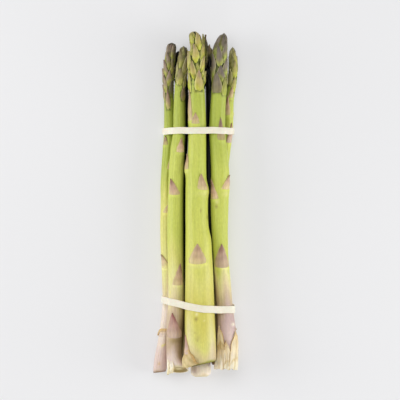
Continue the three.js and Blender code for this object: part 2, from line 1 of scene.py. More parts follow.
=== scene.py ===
# A bundle of eight green asparagus spears, lying on a pale floor in two rubber bands.
# Spears are worked out in millimetres and made in metres. Y runs from the feet to the heads.
import math
import bpy
import numpy as np
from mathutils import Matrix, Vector


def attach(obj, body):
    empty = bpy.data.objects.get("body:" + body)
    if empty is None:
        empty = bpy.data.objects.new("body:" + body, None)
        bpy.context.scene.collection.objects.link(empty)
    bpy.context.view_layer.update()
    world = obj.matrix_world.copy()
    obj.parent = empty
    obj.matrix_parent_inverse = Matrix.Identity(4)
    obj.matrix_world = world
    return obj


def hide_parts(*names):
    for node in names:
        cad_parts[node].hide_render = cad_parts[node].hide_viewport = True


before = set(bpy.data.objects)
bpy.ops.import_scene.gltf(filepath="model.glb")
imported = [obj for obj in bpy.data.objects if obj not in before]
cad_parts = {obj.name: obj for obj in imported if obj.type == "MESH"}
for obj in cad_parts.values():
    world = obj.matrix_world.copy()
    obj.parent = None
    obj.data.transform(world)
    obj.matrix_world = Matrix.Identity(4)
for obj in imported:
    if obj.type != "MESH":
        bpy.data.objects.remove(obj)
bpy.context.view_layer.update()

MM = 0.001

# The photograph: millimetres per pixel of the 400 pixel frame, and the bundle's middle in it
MM_PER_PIXEL = 0.74
PHOTO_SIDE = 400
BUNDLE_PIXEL = (195.8, 204.0)

# The camera's lens and sensor, and the height at which the photograph's scale holds
CAMERA_LENS = 150
CAMERA_SENSOR = 36
SCALE_HEIGHT = 18

# Lights, in metres: name, place, size and power
LIGHTS = [
    ("left", (-0.95, 0.1, 0.42), 0.7, 6.4),
    ("right", (0.95, -0.1, 0.42), 0.7, 6.4),
    ("top", (-0.1, 0.35, 0.95), 0.7, 2.6),
    ("feet", (0.1, -0.95, 0.5), 0.6, 2.3),
]
SKY_STRENGTH = 0.3
FLOOR_SIZE = 6
FLOOR_GLOW = 0.36

# How finely spears are meshed, and the angle from which an edge is sharp
SKIN_STEP = 1.0
HEAD_SKIN_STEP = 0.7
SKIN_SIDES = 84
SCALE_ROWS = 19
SCALE_COLUMNS = 17
CUT_ROWS = 23
SHARP_EDGE = 55

# How scales grow, as in the solids: the turn from one to the next, the gap to a neighbouring spear and
# the turn past which they are out of sight from above
SPIRAL_TURN = 137.5
NEIGHBOUR_GAP = 0.4
SEEN_TURN = 104

# How far up a cut's slope reaches
FOOT_REACH = 12

# The seed, factor and range of the draws
SEED = 7
DRAW_FACTOR = 16807
DRAW_RANGE = 2147483647

# Stem scales: first and last place, length and spacing with what chance adds to them, width and rise
STEM_SCALE_START = 16
STEM_SCALE_END = 14
STEM_SCALE_LENGTH = 11
STEM_SCALE_CHANCE = 2
STEM_SCALE_GAP = 22
STEM_GAP_CHANCE = 5
STEM_SCALE_WIDTH = 0.62
STEM_SCALE_RISE = 0.9

# Head scales: their number, where they end, how long they are at the head's foot and how much shorter at
# its tip, their rise, and how far flat ones reach up from its foot. A spear that lists fewer than
# LISTED_HEAD_SCALES lies out of sight, and they grow all round it.
HEAD_SCALE_COUNT = 14
HEAD_SCALE_END = 7
HEAD_SCALE_LENGTH = 13
HEAD_SCALE_SHORTER = 5
HEAD_SCALE_RISE = 1.2
LEAF_REACH = 11.2
LISTED_HEAD_SCALES = 4

# Where along it a bud and a leaf are widest, from 0 to 1
BUD_WIDEST = 0.36
LEAF_WIDEST = 0.25

# Scales that close a tip at its sides and underneath: how far before the tip, and their turn. Over
# TIP_CLOSING before a tip, all scales lie closer to its core.
TIP_SCALES = [
    [11, 102], [11, -102], [10, 142], [10, -142], [17, 108], [17, -108], [15, 160],
    [6.6, 84], [6.6, -84], [6, 124], [6, -124], [6.4, 180],
]
TIP_SCALE_LENGTH = 10
TIP_SCALE_RISE = 0.5
TIP_CLOSING = 4.5

# Relief of the skin: ridges, slow lumps, bumps in the head, nodes and the two lines below a scale
RIDGE_RISE = 0.05
LUMP_RISES = (0.10, 0.12)
BUMP_RISE = 0.3
NODE_RISE = 0.5
TRAIL_RISE = 0.16

# Bands: their gap to the spears, the rounding of their edges and their clearance over the floor. No
# scale grows in a band's reach. over and under give its place along the spears, on top of them and
# underneath, for a place across them.
BAND_THICK = 0.9
BAND_CLEAR = 0.12
BAND_EDGE = 0.22
BAND_STATIONS = 260
BAND_ARC_STEPS = 32
BAND_SWAYS = (0.12, 0.07)
BAND_PIGMENT = 230.0
BAND_DRYNESS = 0.5
FLOOR_CLEAR = 0.02
BANDS = [
    {
        "name": "band_upper",
        "width": 4.9,
        "reach": (50, 59),
        "over": lambda across: 54.2 + 0 * across,
        "under": lambda across: 54.2 + 0 * across,
    },
    {
        "name": "band_lower",
        "width": 5.3,
        "reach": (-83, -66),
        "over": lambda across: -77.9 + 0.106 * (8 - across + np.hypot(8 - across, 8)),
        "under": lambda across: -74.2 - 0.12 * across,
    },
]

# Colours, from 0 to 255. gloom and the crevice colour are painted shade, deep between spears and between head
# scales.
PALETTE = {
    "gloom": (10, 9, 5), "crevice_shade": (44, 48, 10), "bark": (114, 88, 66), "cut_green": (110, 106, 26),
    "shade_green": (112, 122, 46), "head_green": (150, 162, 64), "mid_green": (176, 188, 80),
    "lime": (199, 206, 96), "bright_lime": (211, 212, 104), "gold_lime": (212, 204, 100),
    "pale_lime": (217, 213, 120), "pale_yellow": (226, 222, 150), "bud_yellow": (232, 222, 130),
    "straw": (224, 208, 160), "corn": (214, 199, 142), "buff": (206, 188, 150),
    "fawn": (204, 182, 152), "taupe": (192, 166, 138), "rose": (200, 173, 168),
    "blush": (221, 198, 190), "cream": (234, 219, 205), "white": (255, 240, 220),
    "ivory": (247, 238, 218), "wood": (164, 140, 78), "olive_brown": (150, 130, 76),
    "dry_gold": (206, 170, 104), "worn_rubber": (230, 223, 200), "pale_rubber": (241, 236, 218),
    "floor": (178, 178, 180), "pale_floor": (184, 184, 186),
}

# Scale colours at the root, the middle, the point and the margin. A head scale's paler margin is partly
# its own colour and partly a painted highlight along the edge; a dry sheath's margin is a darker rim.
TONES = {
    "tan": [(212, 194, 138), (194, 166, 132), (172, 138, 114), (204, 186, 134)],
    "brown": [(216, 194, 144), (198, 164, 138), (146, 108, 92), (206, 182, 136)],
    "mauve": [(190, 180, 110), (160, 134, 108), (134, 106, 96), (170, 146, 110)],
    "pink": [(208, 182, 162), (192, 154, 140), (148, 88, 88), (188, 152, 134)],
    "fawn": [(206, 182, 150), (186, 158, 136), (150, 112, 98), (206, 184, 146)],
    "curled": [(226, 216, 150), (214, 188, 156), (112, 84, 48), (200, 170, 136)],
    "purple": [(160, 162, 74), (146, 129, 107), (116, 101, 91), (178, 167, 128)],
    "rosy": [(168, 168, 80), (153, 134, 112), (136, 112, 106), (188, 172, 136)],
    "slate": [(168, 176, 78), (124, 113, 98), (108, 98, 91), (182, 174, 132)],
    "slate_leaf": [(134, 124, 92), (126, 115, 96), (110, 100, 92), (180, 170, 124)],
    "olive": [(172, 170, 84), (138, 127, 84), (116, 105, 84), (180, 174, 118)],
    "shade": [(130, 136, 58), (104, 97, 68), (84, 76, 64), (134, 130, 90)],
    "green": [(176, 184, 76), (160, 160, 76), (136, 128, 80), (190, 194, 110)],
    "bud": [(192, 196, 68), (184, 169, 98), (154, 135, 100), (222, 219, 142)],
    "fresh": [(190, 196, 72), (182, 176, 98), (168, 152, 108), (220, 218, 140)],
    "rosy_bud": [(186, 186, 76), (186, 170, 104), (152, 128, 106), (212, 206, 132)],
    "pale_olive": [(176, 172, 96), (170, 164, 104), (150, 142, 100), (190, 184, 128)],
    "brown_head": [(146, 140, 72), (124, 106, 76), (108, 88, 66), (140, 126, 88)],
    "sheath": [(226, 208, 192), (224, 204, 186), (222, 190, 136), (200, 168, 120)],
    "strip": [(240, 226, 190), (248, 240, 222), (240, 226, 204), (226, 206, 160)],
    "flap": [(200, 180, 126), (212, 184, 166), (192, 146, 138), (190, 162, 112)],
    "cuff": [(208, 188, 140), (216, 196, 148), (210, 180, 132), (192, 156, 98)],
    "husk": [(250, 234, 210), (252, 240, 216), (236, 214, 178), (196, 162, 110)],
    "tan_dry": [(214, 188, 138), (238, 220, 184), (238, 216, 176), (190, 154, 98)],
    "dry": [(250, 240, 212), (248, 232, 198), (242, 218, 172), (204, 168, 108)],
}

# The columns of a spear's stations
ACROSS = 1
UP = 2
HALF_WIDTH = 3
HALF_DEPTH = 4

# Each spear, in millimetres. depth is how dark its painted crevice shade is. foot_slope and foot_tilt
# are how its cut leans across and up, foot_round is how far the skin draws in there and foot_rim is its
# colour.
# gloom is where the dark between other spears starts, is full, fades and ends. head_start is where the
# head begins, and head_tone is the tone of scales that aren't listed.
# stations, from foot to tip: [along, across, up, half width, half depth].
# bracts, plates and head scales: [root, point, turn, half width, rise, lean of the point, tone].
# marks on the skin; some are painted shade on flanks that neighbouring spears shade, and one is partly a
# painted highlight:
# [along, turn, half length, half width, rise, colour, strength].
# skin: [along, colour]. In a head, the crevice colour is painted shade deep between the scales.
SPEARS = [
    {
        "name": "spear_far_left", "depth": 0.75, "foot_slope": 0.12, "foot_tilt": 0.06, "foot_round": 0.5,
        "foot_rim": "bark", "head_start": 78, "head_tone": "purple",
        "stations": [
            [-125.6, -27, 6.2, 5, 4.9], [-114, -25.7, 6.1, 4.9, 4.8], [-100, -23.5, 5.9, 4.6, 4.6],
            [-88, -21.9, 5.7, 4.4, 4.5], [-74, -20.5, 5.6, 4.3, 4.4], [-56, -20.9, 5.7, 4.3, 4.4],
            [-26, -21.8, 5.8, 4.5, 4.5], [4, -21.9, 5.8, 4.5, 4.6], [14, -22.1, 5.8, 4.5, 4.6],
            [26, -21.5, 5.7, 4.4, 4.5], [40, -20.5, 5.6, 4.2, 4.4], [54, -19.6, 5.5, 4.1, 4.3],
            [77, -19.9, 6.6, 3.7, 3.8], [91, -20.1, 7.9, 3.6, 3.7], [101, -19.8, 8.3, 3.7, 3.7],
            [108, -19.3, 8.3, 3.4, 3.4], [114, -18.6, 8.2, 3.1, 3], [118, -18.1, 8.2, 2.7, 2.6],
            [119.7, -18, 8.2, 1.9, 1.8], [120.3, -17.9, 8.2, 0, 0],
        ],
        "bracts": [
            [-47.4, -37.6, -12, 3.9, 1.3, -38, "curled"], [-6.2, 0.6, -6, 2.3, 0.8, 26, "tan"],
            [26, 38, 40, 3.2, 0.8, 0, "tan"], [44.4, 51, -42, 2.6, 0.8, 0, "mauve"],
        ],
        "plates": [[-99, -92.6, -14, 5.6, 0.8, 0, "sheath"]],
        "head_scales": [
            [70.5, 85.8, -10, 2, 0.8, -5, "mauve"], [76.5, 89, -74, 2.2, 0.9, 0, "rosy"],
            [87, 101, -80, 2.4, 1.3, 6, "rosy"], [79.9, 93, 30, 2.4, 0.8, 4, "shade"],
            [82, 95.6, -42, 2.3, 1.1, -10, "rosy"], [88.2, 99.8, -1, 2.6, 1.2, 8, "rosy"],
            [92, 102, 62, 2.2, 0.9, 0, "shade"], [94.8, 107.4, -24, 2.3, 1.3, -44, "rosy"],
            [97.2, 108, 40, 2, 1.1, -18, "olive"], [100.2, 112.8, 1, 2.1, 1.3, -28, "purple"],
            [103.4, 117.6, 66, 2.3, 1, -12, "shade"], [104.6, 119.4, -44, 2.5, 1, 8, "purple"],
            [107, 119.7, 30, 2.2, 1.1, 0, "purple"], [109.4, 119.9, -6, 1.7, 0.8, 0, "rosy"],
        ],
        "marks_and_painted_light": [
            [7.2, -12, 2.6, 1.3, 0.35, "bud_yellow", 0.5], [-105.4, -4, 0.9, 0.9, 0.5, "bud_yellow", 1],
            # The rose mark at -116 is painted shade on the foot's right flank, where spear_left stands over
            # it; the buff mark at -101 is a painted shadow below the dry collar, over a shallow dent.
            [-104.6, 14, 0.8, 0.8, 0.5, "bud_yellow", 1], [-116, 52, 16, 2.6, 0, "rose", 0.8],
            [-119, -12, 1.2, 1.2, 0.1, "dry_gold", 0.5], [-124.6, -20, 1.6, 3.6, 0, "fawn", 0.7],
            [-101, 32, 4.2, 1.8, -0.15, "buff", 0.6],
        ],
        "skin": [
            [-126, "blush"], [-112, "blush"], [-98, "cream"], [-76, "cream"], [-64, "straw"],
            [-50, "pale_yellow"], [0, "pale_lime"], [30, "mid_green"], [60, "mid_green"],
            [88, "head_green"], [98, "shade_green"], [106, "crevice_shade"], [120, "crevice_shade"],
        ],
    },
    {
        "name": "spear_left", "depth": 0.9, "foot_slope": -0.02, "foot_tilt": 0.46, "foot_round": 0.4,
        "foot_rim": "straw", "head_start": 80, "head_tone": "olive",
        "stations": [
            [-122.9, -12.8, 17.3, 8, 6.9], [-119.5, -13.9, 18, 7.2, 6.8], [-114, -15.6, 18.5, 6.3, 6.4],
            [-106, -15.8, 18.5, 6.1, 6.2], [-97, -15.4, 18.4, 6.2, 6.2], [-85, -14.8, 18.3, 6.4, 6.4],
            [-74, -14.2, 18.4, 6.2, 6.4], [-56, -14.3, 17.9, 6.1, 6.2], [-26, -15, 17.1, 6.1, 6.1],
            [3, -14.8, 16.8, 6.1, 6.1], [40, -13.3, 15.6, 5.4, 5.4], [54, -12.1, 14.8, 4.8, 4.8],
            [68, -12.1, 14.5, 4.5, 4.5], [84, -11.9, 14.5, 3.8, 3.9], [92, -11.2, 14.5, 3.6, 3.7],
            [101, -10.3, 14.7, 3.5, 3.5], [108, -9.6, 14.9, 3.1, 3.1], [113, -9.2, 15, 2.5, 2.5],
            [115.8, -9.1, 15, 1.8, 1.8], [117.2, -9.1, 15, 0, 0],
        ],
        "bracts": [
            [-97.8, -80.2, -2, 6.6, 0.9, -23, "pink"], [-59.2, -43.7, 12, 4.3, 0.9, 18, "brown"],
            [7.4, 18.8, -11, 4.7, 1, -30, "brown"], [38.6, 49, 22, 3.4, 0.8, 0, "brown"],
        ],
        "plates": [
            [-126.4, -115.4, -72, 2.4, 0.8, 8, "strip"], [-126.8, -117.2, -40, 2.2, 0.8, 6, "strip"],
        ],
        "head_scales": [
            [76.6, 87.3, 46, 2.6, 0.9, -7, "brown_head"], [85.1, 97.7, 62, 2.2, 0.9, -10, "olive"],
            [88.2, 101, 1, 3.4, 1, -15, "olive"], [90.6, 105, -58, 2.3, 1, 0, "pale_olive"],
            [96, 109.2, 32, 2.5, 1.5, 4, "olive"], [100.4, 114.6, -14, 2.5, 1.3, -20, "olive"],
            [102.1, 113, 66, 1.8, 1, 0, "shade"], [104.4, 117, 40, 2.3, 1.1, -18, "shade"],
            [106.6, 116.6, -40, 2, 0.8, 10, "olive"], [107.7, 117.2, 9, 1.6, 1.2, -16, "pale_olive"],
        ],
        "marks_and_painted_light": [
            # The blush mark at -94.5 is a pale swelling, partly a painted highlight on it; the olive-brown
            # mark at -100.4 below it is partly a painted shadow line.
            [-100.4, 8, 2.3, 5.4, -0.15, "olive_brown", 0.62], [-94.5, -14, 2, 4, 0.3, "blush", 0.5],
            [-64.8, -50, 1, 0.8, 0.45, "bud_yellow", 0.8], [-56, -38, 2.2, 1, 0.2, "bud_yellow", 0.4],
            # The rose mark at -119 and the marks at turns 64 to 78 darken the right flank: painted shade
            # where spear_middle stands over it.
            [-113, -4, 6, 4, 0, "ivory", 0.3], [-119, 42, 2.6, 3.4, 0, "rose", 0.7],
            [-70, 78, 34, 3.4, 0, "olive_brown", 0.6], [-94, 64, 20, 4.4, 0, "bark", 0.9],
            [0, 76, 110, 2.6, 0, "crevice_shade", 0.85],
        ],
        "skin": [
            [-126, "cream"], [-115, "blush"], [-106, "taupe"], [-92, "fawn"], [-82, "fawn"], [-74, "straw"],
            [-56, "pale_yellow"], [-40, "pale_lime"], [-20, "lime"], [30, "lime"], [60, "mid_green"],
            [88, "mid_green"], [96, "head_green"], [106, "crevice_shade"], [117, "crevice_shade"],
        ],
    },
    {
        "name": "spear_middle", "depth": 0.9, "foot_slope": 0.23, "foot_tilt": 0.1, "foot_round": 0.6,
        "foot_rim": "cut_green", "head_start": 78, "head_tone": "bud",
        "stations": [
            [-118.2, 3.9, 25.4, 11.1, 9.4], [-111, 3.9, 25.1, 11.2, 9.4], [-100, 3.7, 24.5, 11.1, 9.4],
            [-89, 3.2, 23.8, 11.1, 9.3], [-74, 2.9, 23, 10.9, 9.1], [-52, 2.5, 22.4, 10.2, 8.7],
            [-40, 2.2, 22.1, 9.8, 8.4], [-26, 1.8, 21.7, 9.5, 8.3], [-18, 1, 21.3, 8.7, 8],
            [-10, 0.7, 21, 8.4, 7.8], [3, 0.8, 20.6, 8.3, 7.6], [10, 1.2, 20.3, 8.6, 7.6],
            [18, 0.4, 19.9, 7.7, 7.3], [26, 0, 19.5, 7.8, 7.2], [35, 0.8, 19, 7, 6.9],
            [54, 1, 17.9, 6.6, 6.3], [77, 0.7, 18.6, 6, 5.7], [92, 0.6, 19.8, 5.2, 5.1],
            [106, 0.5, 20.6, 4.8, 4.8], [114, 0.7, 21, 4, 4], [121, -0.2, 21, 3.3, 3.2],
            [125, -0.9, 21, 2.8, 2.6], [126.7, -1.1, 21, 2, 1.9], [127.4, -1.2, 21, 0, 0],
        ],
        "bracts": [
            [-43, -29, -8, 7.2, 0.9, 4, "tan"], [11, 22.4, 33, 4.8, 1.2, -6, "tan"],
            [26, 37, -70, 4, 1.1, 0, "tan"], [59.6, 67.6, -10, 3.2, 0.8, 0, "tan"],
            [62, 85, -62, 3.6, 0.8, 0, "tan"],
        ],
        "plates": [[-117.4, -96.2, -56, 6, 1.6, -20, "flap"], [-117.5, -107.2, -49, 9.6, 3.9, -19, "cuff"]],
        "head_scales": [
            [82.6, 98.4, -69, 2.6, 1.4, -2, "fresh"], [83.6, 99, 23, 4.1, 1.6, -8, "rosy_bud"],
            [87, 98, 66, 2.2, 1.9, 10, "fresh"], [92.7, 105.4, -20, 2.8, 2.3, -11, "bud"],
            [95.6, 104, 6, 2.2, 1, 0, "green"], [97.2, 109.2, 51, 3, 2, 3, "bud"],
            [97.4, 112.8, -62, 2.8, 2.3, -8, "fresh"], [104.7, 118.4, -3, 2.9, 2.4, -18, "bud"],
            [105.4, 117.8, 50, 2.7, 1.9, 22, "bud"], [109.6, 119.6, -56, 2, 1.4, 0, "fresh"],
            [93.4, 100.8, 50, 1.4, 1.8, 8, "fresh"], [99.6, 106, -40, 1.4, 1.6, 0, "green"],
            [107.4, 113, 22, 1.3, 1.3, 0, "green"], [113.8, 127.6, 23, 2.8, 1.9, 10, "bud"],
            [115.2, 125, 72, 2, 1.4, -6, "bud"], [116.6, 127.3, -50, 2.5, 1.5, -4, "fresh"],
            [118.6, 126.2, -78, 1.5, 1.4, 8, "green"], [122.4, 127.4, -8, 1.6, 1.6, -24, "fresh"],
        ],
        "marks_and_painted_light": [
            [-4.9, 22, 1.5, 0.45, -0.2, "olive_brown", 0.75], [-9.8, 74, 1.6, 1, -0.5, "bark", 0.6],
            [-80.6, -12, 1.3, 1.1, 0.35, "ivory", 0.6], [-84.2, -15, 1.2, 0.9, -0.15, "olive_brown", 0.8],
            [-85.2, 16, 0.6, 0.6, 0.2, "ivory", 0.5], [-98.4, -12, 2.2, 2.6, -0.1, "olive_brown", 0.22],
            [-99.8, -13, 0.5, 0.6, 0.1, "olive_brown", 0.55], [-94, -22, 0.8, 0.8, 0.1, "olive_brown", 0.3],
            [83.2, -12, 1.4, 1.6, 0.4, "olive_brown", 0.35], [82.4, 26, 1, 2.4, 0.4, "pale_lime", 0.6],
            [7.6, 30, 1.6, 5, 0.3, "pale_yellow", 0.5], [23.4, -68, 1.6, 3, 0.4, "pale_yellow", 0.5],
            [-117, 38, 0.9, 4.2, 0, "head_green", 0.85], [-46, -8, 1.8, 6, 0.25, "pale_yellow", 0.5],
            [-96, -52, 20, 3.4, 0, "cream", 0.45], [-98, 50, 22, 4, 0, "cream", 0.35],
        ],
        "skin": [
            [-120, "buff"], [-110, "corn"], [-102, "pale_lime"], [-86, "gold_lime"], [-72, "gold_lime"],
            [-56, "pale_lime"], [-40, "bright_lime"], [10, "lime"], [50, "lime"], [80, "mid_green"],
            [96, "mid_green"], [106, "head_green"], [114, "crevice_shade"], [127, "crevice_shade"],
        ],
    },
    {
        "name": "spear_right", "depth": 0.85, "foot_slope": 0, "foot_tilt": 0.05, "foot_round": 0.6,
        "foot_rim": "dry_gold", "head_start": 83, "head_tone": "slate",
        "stations": [
            [-121.4, 22.1, 20, 8.5, 7.5], [-116, 22.7, 19.7, 7.9, 7.3], [-108, 22.9, 19.3, 7.7, 7.3],
            [-97, 22.8, 18.7, 7.4, 7.2], [-85, 21.9, 17.8, 6.7, 6.8], [-74, 20.9, 17, 6.2, 6.4],
            [-56, 19.6, 17, 5.9, 6.1], [-41, 18.5, 17.1, 5.8, 6.1], [-20, 17.8, 17.2, 6.1, 6.3],
            [3, 17.7, 17.4, 6.6, 6.7], [11, 17.9, 17.3, 6.9, 6.8], [24, 17.9, 17, 6.8, 6.8],
            [33, 17.4, 16.8, 6.6, 6.7], [42, 16.7, 16.5, 6.2, 6.5], [54, 15.9, 16.2, 5.9, 6.2],
            [70, 16.4, 16.4, 5.7, 5.9], [84, 17.2, 16.8, 5.6, 5.6], [97, 17.5, 17, 5.4, 5.5],
            [107, 17.8, 17.2, 5.5, 5.5], [114, 17.9, 17.4, 4.9, 5], [119, 18.7, 17.5, 4, 4.1],
            [123, 19.6, 17.5, 2.8, 2.9], [125.2, 20.3, 17.5, 1.6, 1.7], [126.2, 20.6, 17.5, 0, 0],
        ],
        "bracts": [
            [-46, -29.4, 6, 6.8, 0.9, 4, "fawn"], [4.2, 18.2, -38, 3.7, 1, -22, "brown"],
            [11.4, 21.5, 40, 4.3, 1.2, 22, "brown"], [47.6, 64, 30, 3.4, 0.6, -8, "mauve"],
        ],
        "plates": [
            [-121.6, -105.5, -45, 6.2, 1, 8, "husk"], [-106.8, -90.2, -34, 3.4, 1.2, -5, "tan_dry"],
            [-121.6, -100.2, 10, 3.6, 0.9, -17, "dry"], [-122, -94.2, 60, 7.2, 1.2, -10, "dry"],
        ],
        "head_scales": [
            [80.4, 93.6, 48, 3, 1, -4, "green"], [82.4, 97.2, -22, 4.8, 1.1, 2, "slate_leaf"],
            [90.4, 102.4, 10, 4.2, 1.1, -3, "slate"], [94.4, 107.6, 50, 3, 1.1, -2, "slate"],
            [94.4, 111, -62, 3.2, 1.1, 8, "slate"], [102.2, 117, 3, 2.9, 1.3, -18, "slate"],
            [104.8, 120, 28, 2.9, 1.2, 20, "slate"], [104, 122.4, -72, 2.8, 1, 20, "slate"],
            [108.2, 126.2, -40, 3, 1.1, 12, "slate"], [111, 126.6, 58, 2.2, 1.1, 6, "slate"],
            [112.6, 126.6, 11, 2.3, 1.2, 14, "slate"], [113.4, 126.4, -14, 1.8, 1, 8, "olive"],
        ],
        "marks_and_painted_light": [
            [1.5, -18, 1.6, 1.4, 0.5, "pale_yellow", 0.8], [-1.9, -22, 1.2, 1, -0.2, "olive_brown", 0.6],
            [-88.7, 47, 1.2, 2, 0.6, "ivory", 1], [-96, 12, 7, 3, 0, "blush", 0.9],
            # The bark mark at -80 darkens the left flank: painted shade where spear_middle stands over it.
            [-92.4, 74, 0.8, 1.2, 1.1, "olive_brown", 0.9], [-80, -76, 26, 3.2, 0, "bark", 0.6],
            [7.4, 40, 1.6, 3.4, 0.35, "pale_yellow", 0.6],
        ],
        "skin": [
            [-122, "ivory"], [-106, "blush"], [-95, "rose"], [-83, "rose"], [-71, "fawn"], [-62, "straw"],
            [-52, "pale_yellow"], [-42, "lime"], [20, "lime"], [50, "mid_green"], [84, "mid_green"],
            [96, "head_green"], [104, "crevice_shade"], [126, "crevice_shade"],
        ],
    },
    {
        "name": "spear_far_right", "depth": 0.7, "foot_slope": 0, "foot_tilt": 0.05, "foot_round": 0.5,
        "foot_rim": "bark", "head_start": 84, "head_tone": "olive",
        "stations": [
            [-119, 26.8, 5.4, 4.1, 4.1], [-93, 23.9, 5.3, 4.1, 4.1], [-74, 22.3, 5.2, 4, 4],
            [-56, 21, 5.1, 4, 4], [-26, 20.2, 5.1, 3.9, 3.9], [3, 19.6, 5, 3.8, 3.8],
            [27, 20.5, 4.9, 3.7, 3.7], [41, 22.2, 4.9, 3.7, 3.7], [54, 24, 4.9, 3.7, 3.7],
            [67, 24.8, 5.1, 3.5, 3.5], [77, 25.3, 5.4, 3.2, 3.3], [86, 26.5, 5.7, 3.1, 3.1],
            [94, 27.4, 6.1, 3.2, 3.2], [102, 27.8, 6.5, 3, 3], [108, 27.7, 6.8, 2.6, 2.6],
            [113.4, 27.4, 6.9, 1.7, 1.7], [117.4, 27.6, 7, 0, 0],
        ],
        "bracts": [
            [46, 60.5, 34, 2.6, 0.6, 0, "pink"], [66.6, 80.8, -26, 2.6, 0.7, 0, "brown"],
            [79.5, 88.2, 8, 2.4, 0.9, 0, "tan"],
        ],
        "plates": [],
        "head_scales": [
            [83.6, 94.9, 36, 2.4, 1, -14, "fresh"], [88, 101, -27, 2.4, 1, -5, "pale_olive"],
            [94, 107, 30, 2.7, 1.1, -9, "fresh"], [99.2, 114.4, 42, 2.4, 1, -6, "fresh"],
            [100, 112, -6, 2, 1, 4, "pale_olive"], [102.1, 117.4, -36, 2.2, 0.9, 6, "pale_olive"],
            [108.5, 117, 13, 1.7, 0.8, 6, "pale_olive"],
        ],
        "marks_and_painted_light": [
            [67, 60, 1.4, 2.4, 0.5, "pale_yellow", 0.5], [77, 10, 0.7, 1.4, -0.1, "olive_brown", 0.5],
        ],
        "skin": [
            [-119, "straw"], [-80, "straw"], [-50, "pale_lime"], [0, "lime"], [70, "lime"],
            [84, "mid_green"], [96, "head_green"], [117, "shade_green"],
        ],
    },
    {
        "name": "spear_behind_left", "depth": 0.7, "foot_slope": 0.05, "foot_tilt": 0.04, "foot_round": 0.5,
        "foot_rim": "bark", "gloom": [-75, -50, 130, 140], "head_start": 78, "head_tone": "shade",
        "stations": [
            [-115, -11, 6.8, 5.4, 5.4], [-93, -11.6, 6.7, 5.3, 5.3], [-74, -10.8, 6.6, 5.1, 5.1],
            [-26, -11.7, 6.3, 4.8, 4.8], [3, -12, 6, 4.5, 4.5], [27, -11.4, 5.8, 4.4, 4.4],
            [41, -10.4, 5.6, 4.4, 4.3], [54, -9.8, 5.4, 4.3, 4.1], [78, -9.6, 5, 4, 3.8],
            [88, -10.2, 5, 3.9, 3.7], [97, -11.6, 5, 3.6, 3.5], [104, -12.5, 5.1, 3.2, 3.1],
            [110, -13, 5.3, 2.3, 2.3], [114.8, -13.2, 5.6, 0, 0],
        ],
        "bracts": [],
        "plates": [],
        "head_scales": [],
        "marks_and_painted_light": [],
        "skin": [
            [-115, "cream"], [-95, "straw"], [-60, "pale_lime"], [0, "lime"], [60, "mid_green"],
            [84, "head_green"], [100, "shade_green"], [115, "shade_green"],
        ],
    },
    {
        "name": "spear_behind_middle", "depth": 0.8, "foot_slope": 0.02, "foot_tilt": 0.1,
        "foot_round": 1.3, "foot_rim": "straw", "gloom": [-75, -50, 98, 108], "head_start": 80,
        "head_tone": "olive",
        "stations": [
            [-128.8, 3.8, 8.6, 5.6, 5.4], [-127.8, 3.8, 8.6, 6.9, 6.7], [-124, 3.8, 8.6, 7.5, 7.2],
            [-117, 3.6, 8.4, 7.2, 7], [-93, 1.6, 7.8, 6.5, 6.5], [-74, 0.8, 7.4, 6.1, 6.1],
            [-26, -0.6, 7.1, 5.8, 5.8], [3, -1.1, 6.9, 5.6, 5.6], [27, -1.1, 6.6, 5.4, 5.4],
            [41, -0.4, 6.4, 5.2, 5.2], [54, 0.4, 6.1, 4.9, 4.9], [80, 1.2, 7.3, 4.3, 4.1],
            [100, 4, 9.4, 3.3, 3.3], [113, 5.7, 9.8, 2.6, 2.6], [119, 6, 9.6, 1.9, 1.9],
            [123.6, 6.1, 9.6, 0, 0],
        ],
        "bracts": [],
        "plates": [],
        "head_scales": [
            [108, 126.6, -14, 2.7, 1.3, -8, "green"], [114, 126.2, 52, 1.4, 1.2, 30, "brown_head"],
            [111, 121.6, 34, 2.4, 1.1, 0, "olive"],
        ],
        "marks_and_painted_light": [
            [-125, -34, 3, 2.6, 0, "rose", 0.5], [-122, 8, 4, 2.6, 0, "ivory", 0.8],
            [-127.4, 20, 0.8, 2.4, 0, "dry_gold", 0.5],
        ],
        "skin": [
            [-128, "white"], [-118, "white"], [-110, "cream"], [-100, "straw"], [-60, "pale_lime"],
            [0, "lime"], [60, "mid_green"], [84, "head_green"], [106, "head_green"], [124, "shade_green"],
        ],
    },
    {
        "name": "spear_behind_right", "depth": 0.7, "foot_slope": -0.03, "foot_tilt": 0.04,
        "foot_round": 0.5, "foot_rim": "bark", "gloom": [-75, -50, 106, 114], "head_start": 80,
        "head_tone": "shade",
        "stations": [
            [-120, 17, 6.7, 5.1, 5.1], [-93, 13.9, 6.7, 5.2, 5.2], [-74, 12.5, 6.6, 5.2, 5.2],
            [-26, 10.8, 6.4, 5.1, 5.1], [3, 10.1, 6.2, 5.1, 5.1], [27, 9.8, 6, 4.9, 4.9],
            [41, 10.4, 5.9, 4.7, 4.7], [54, 12, 5.7, 4.5, 4.5], [80, 11.4, 5.1, 4, 3.9],
            [98, 11, 4.9, 3.5, 3.4], [109, 10.6, 5.1, 2.7, 2.6], [114, 10.4, 5.3, 2, 2],
            [118, 10.1, 5.5, 0, 0],
        ],
        "bracts": [],
        "plates": [],
        "head_scales": [
            [109, 119.4, -16, 2.3, 1.2, 6, "brown_head"], [110, 118.6, 42, 2, 1.1, -6, "brown_head"],
        ],
        "marks_and_painted_light": [],
        "skin": [
            # The bark-brown foot is partly painted shade, where it lies deep under spear_middle beside
            # spear_right's foot.
            [-120, "bark"], [-113, "bark"], [-100, "buff"], [-60, "pale_lime"], [0, "lime"],
            [60, "mid_green"], [84, "head_green"], [100, "shade_green"], [118, "shade_green"],
        ],
    },
]


def colours(table):
    """A table of colours as arrays."""
    return {name: np.array(values, dtype=float) for name, values in table.items()}


PALETTE, TONES = colours(PALETTE), colours(TONES)


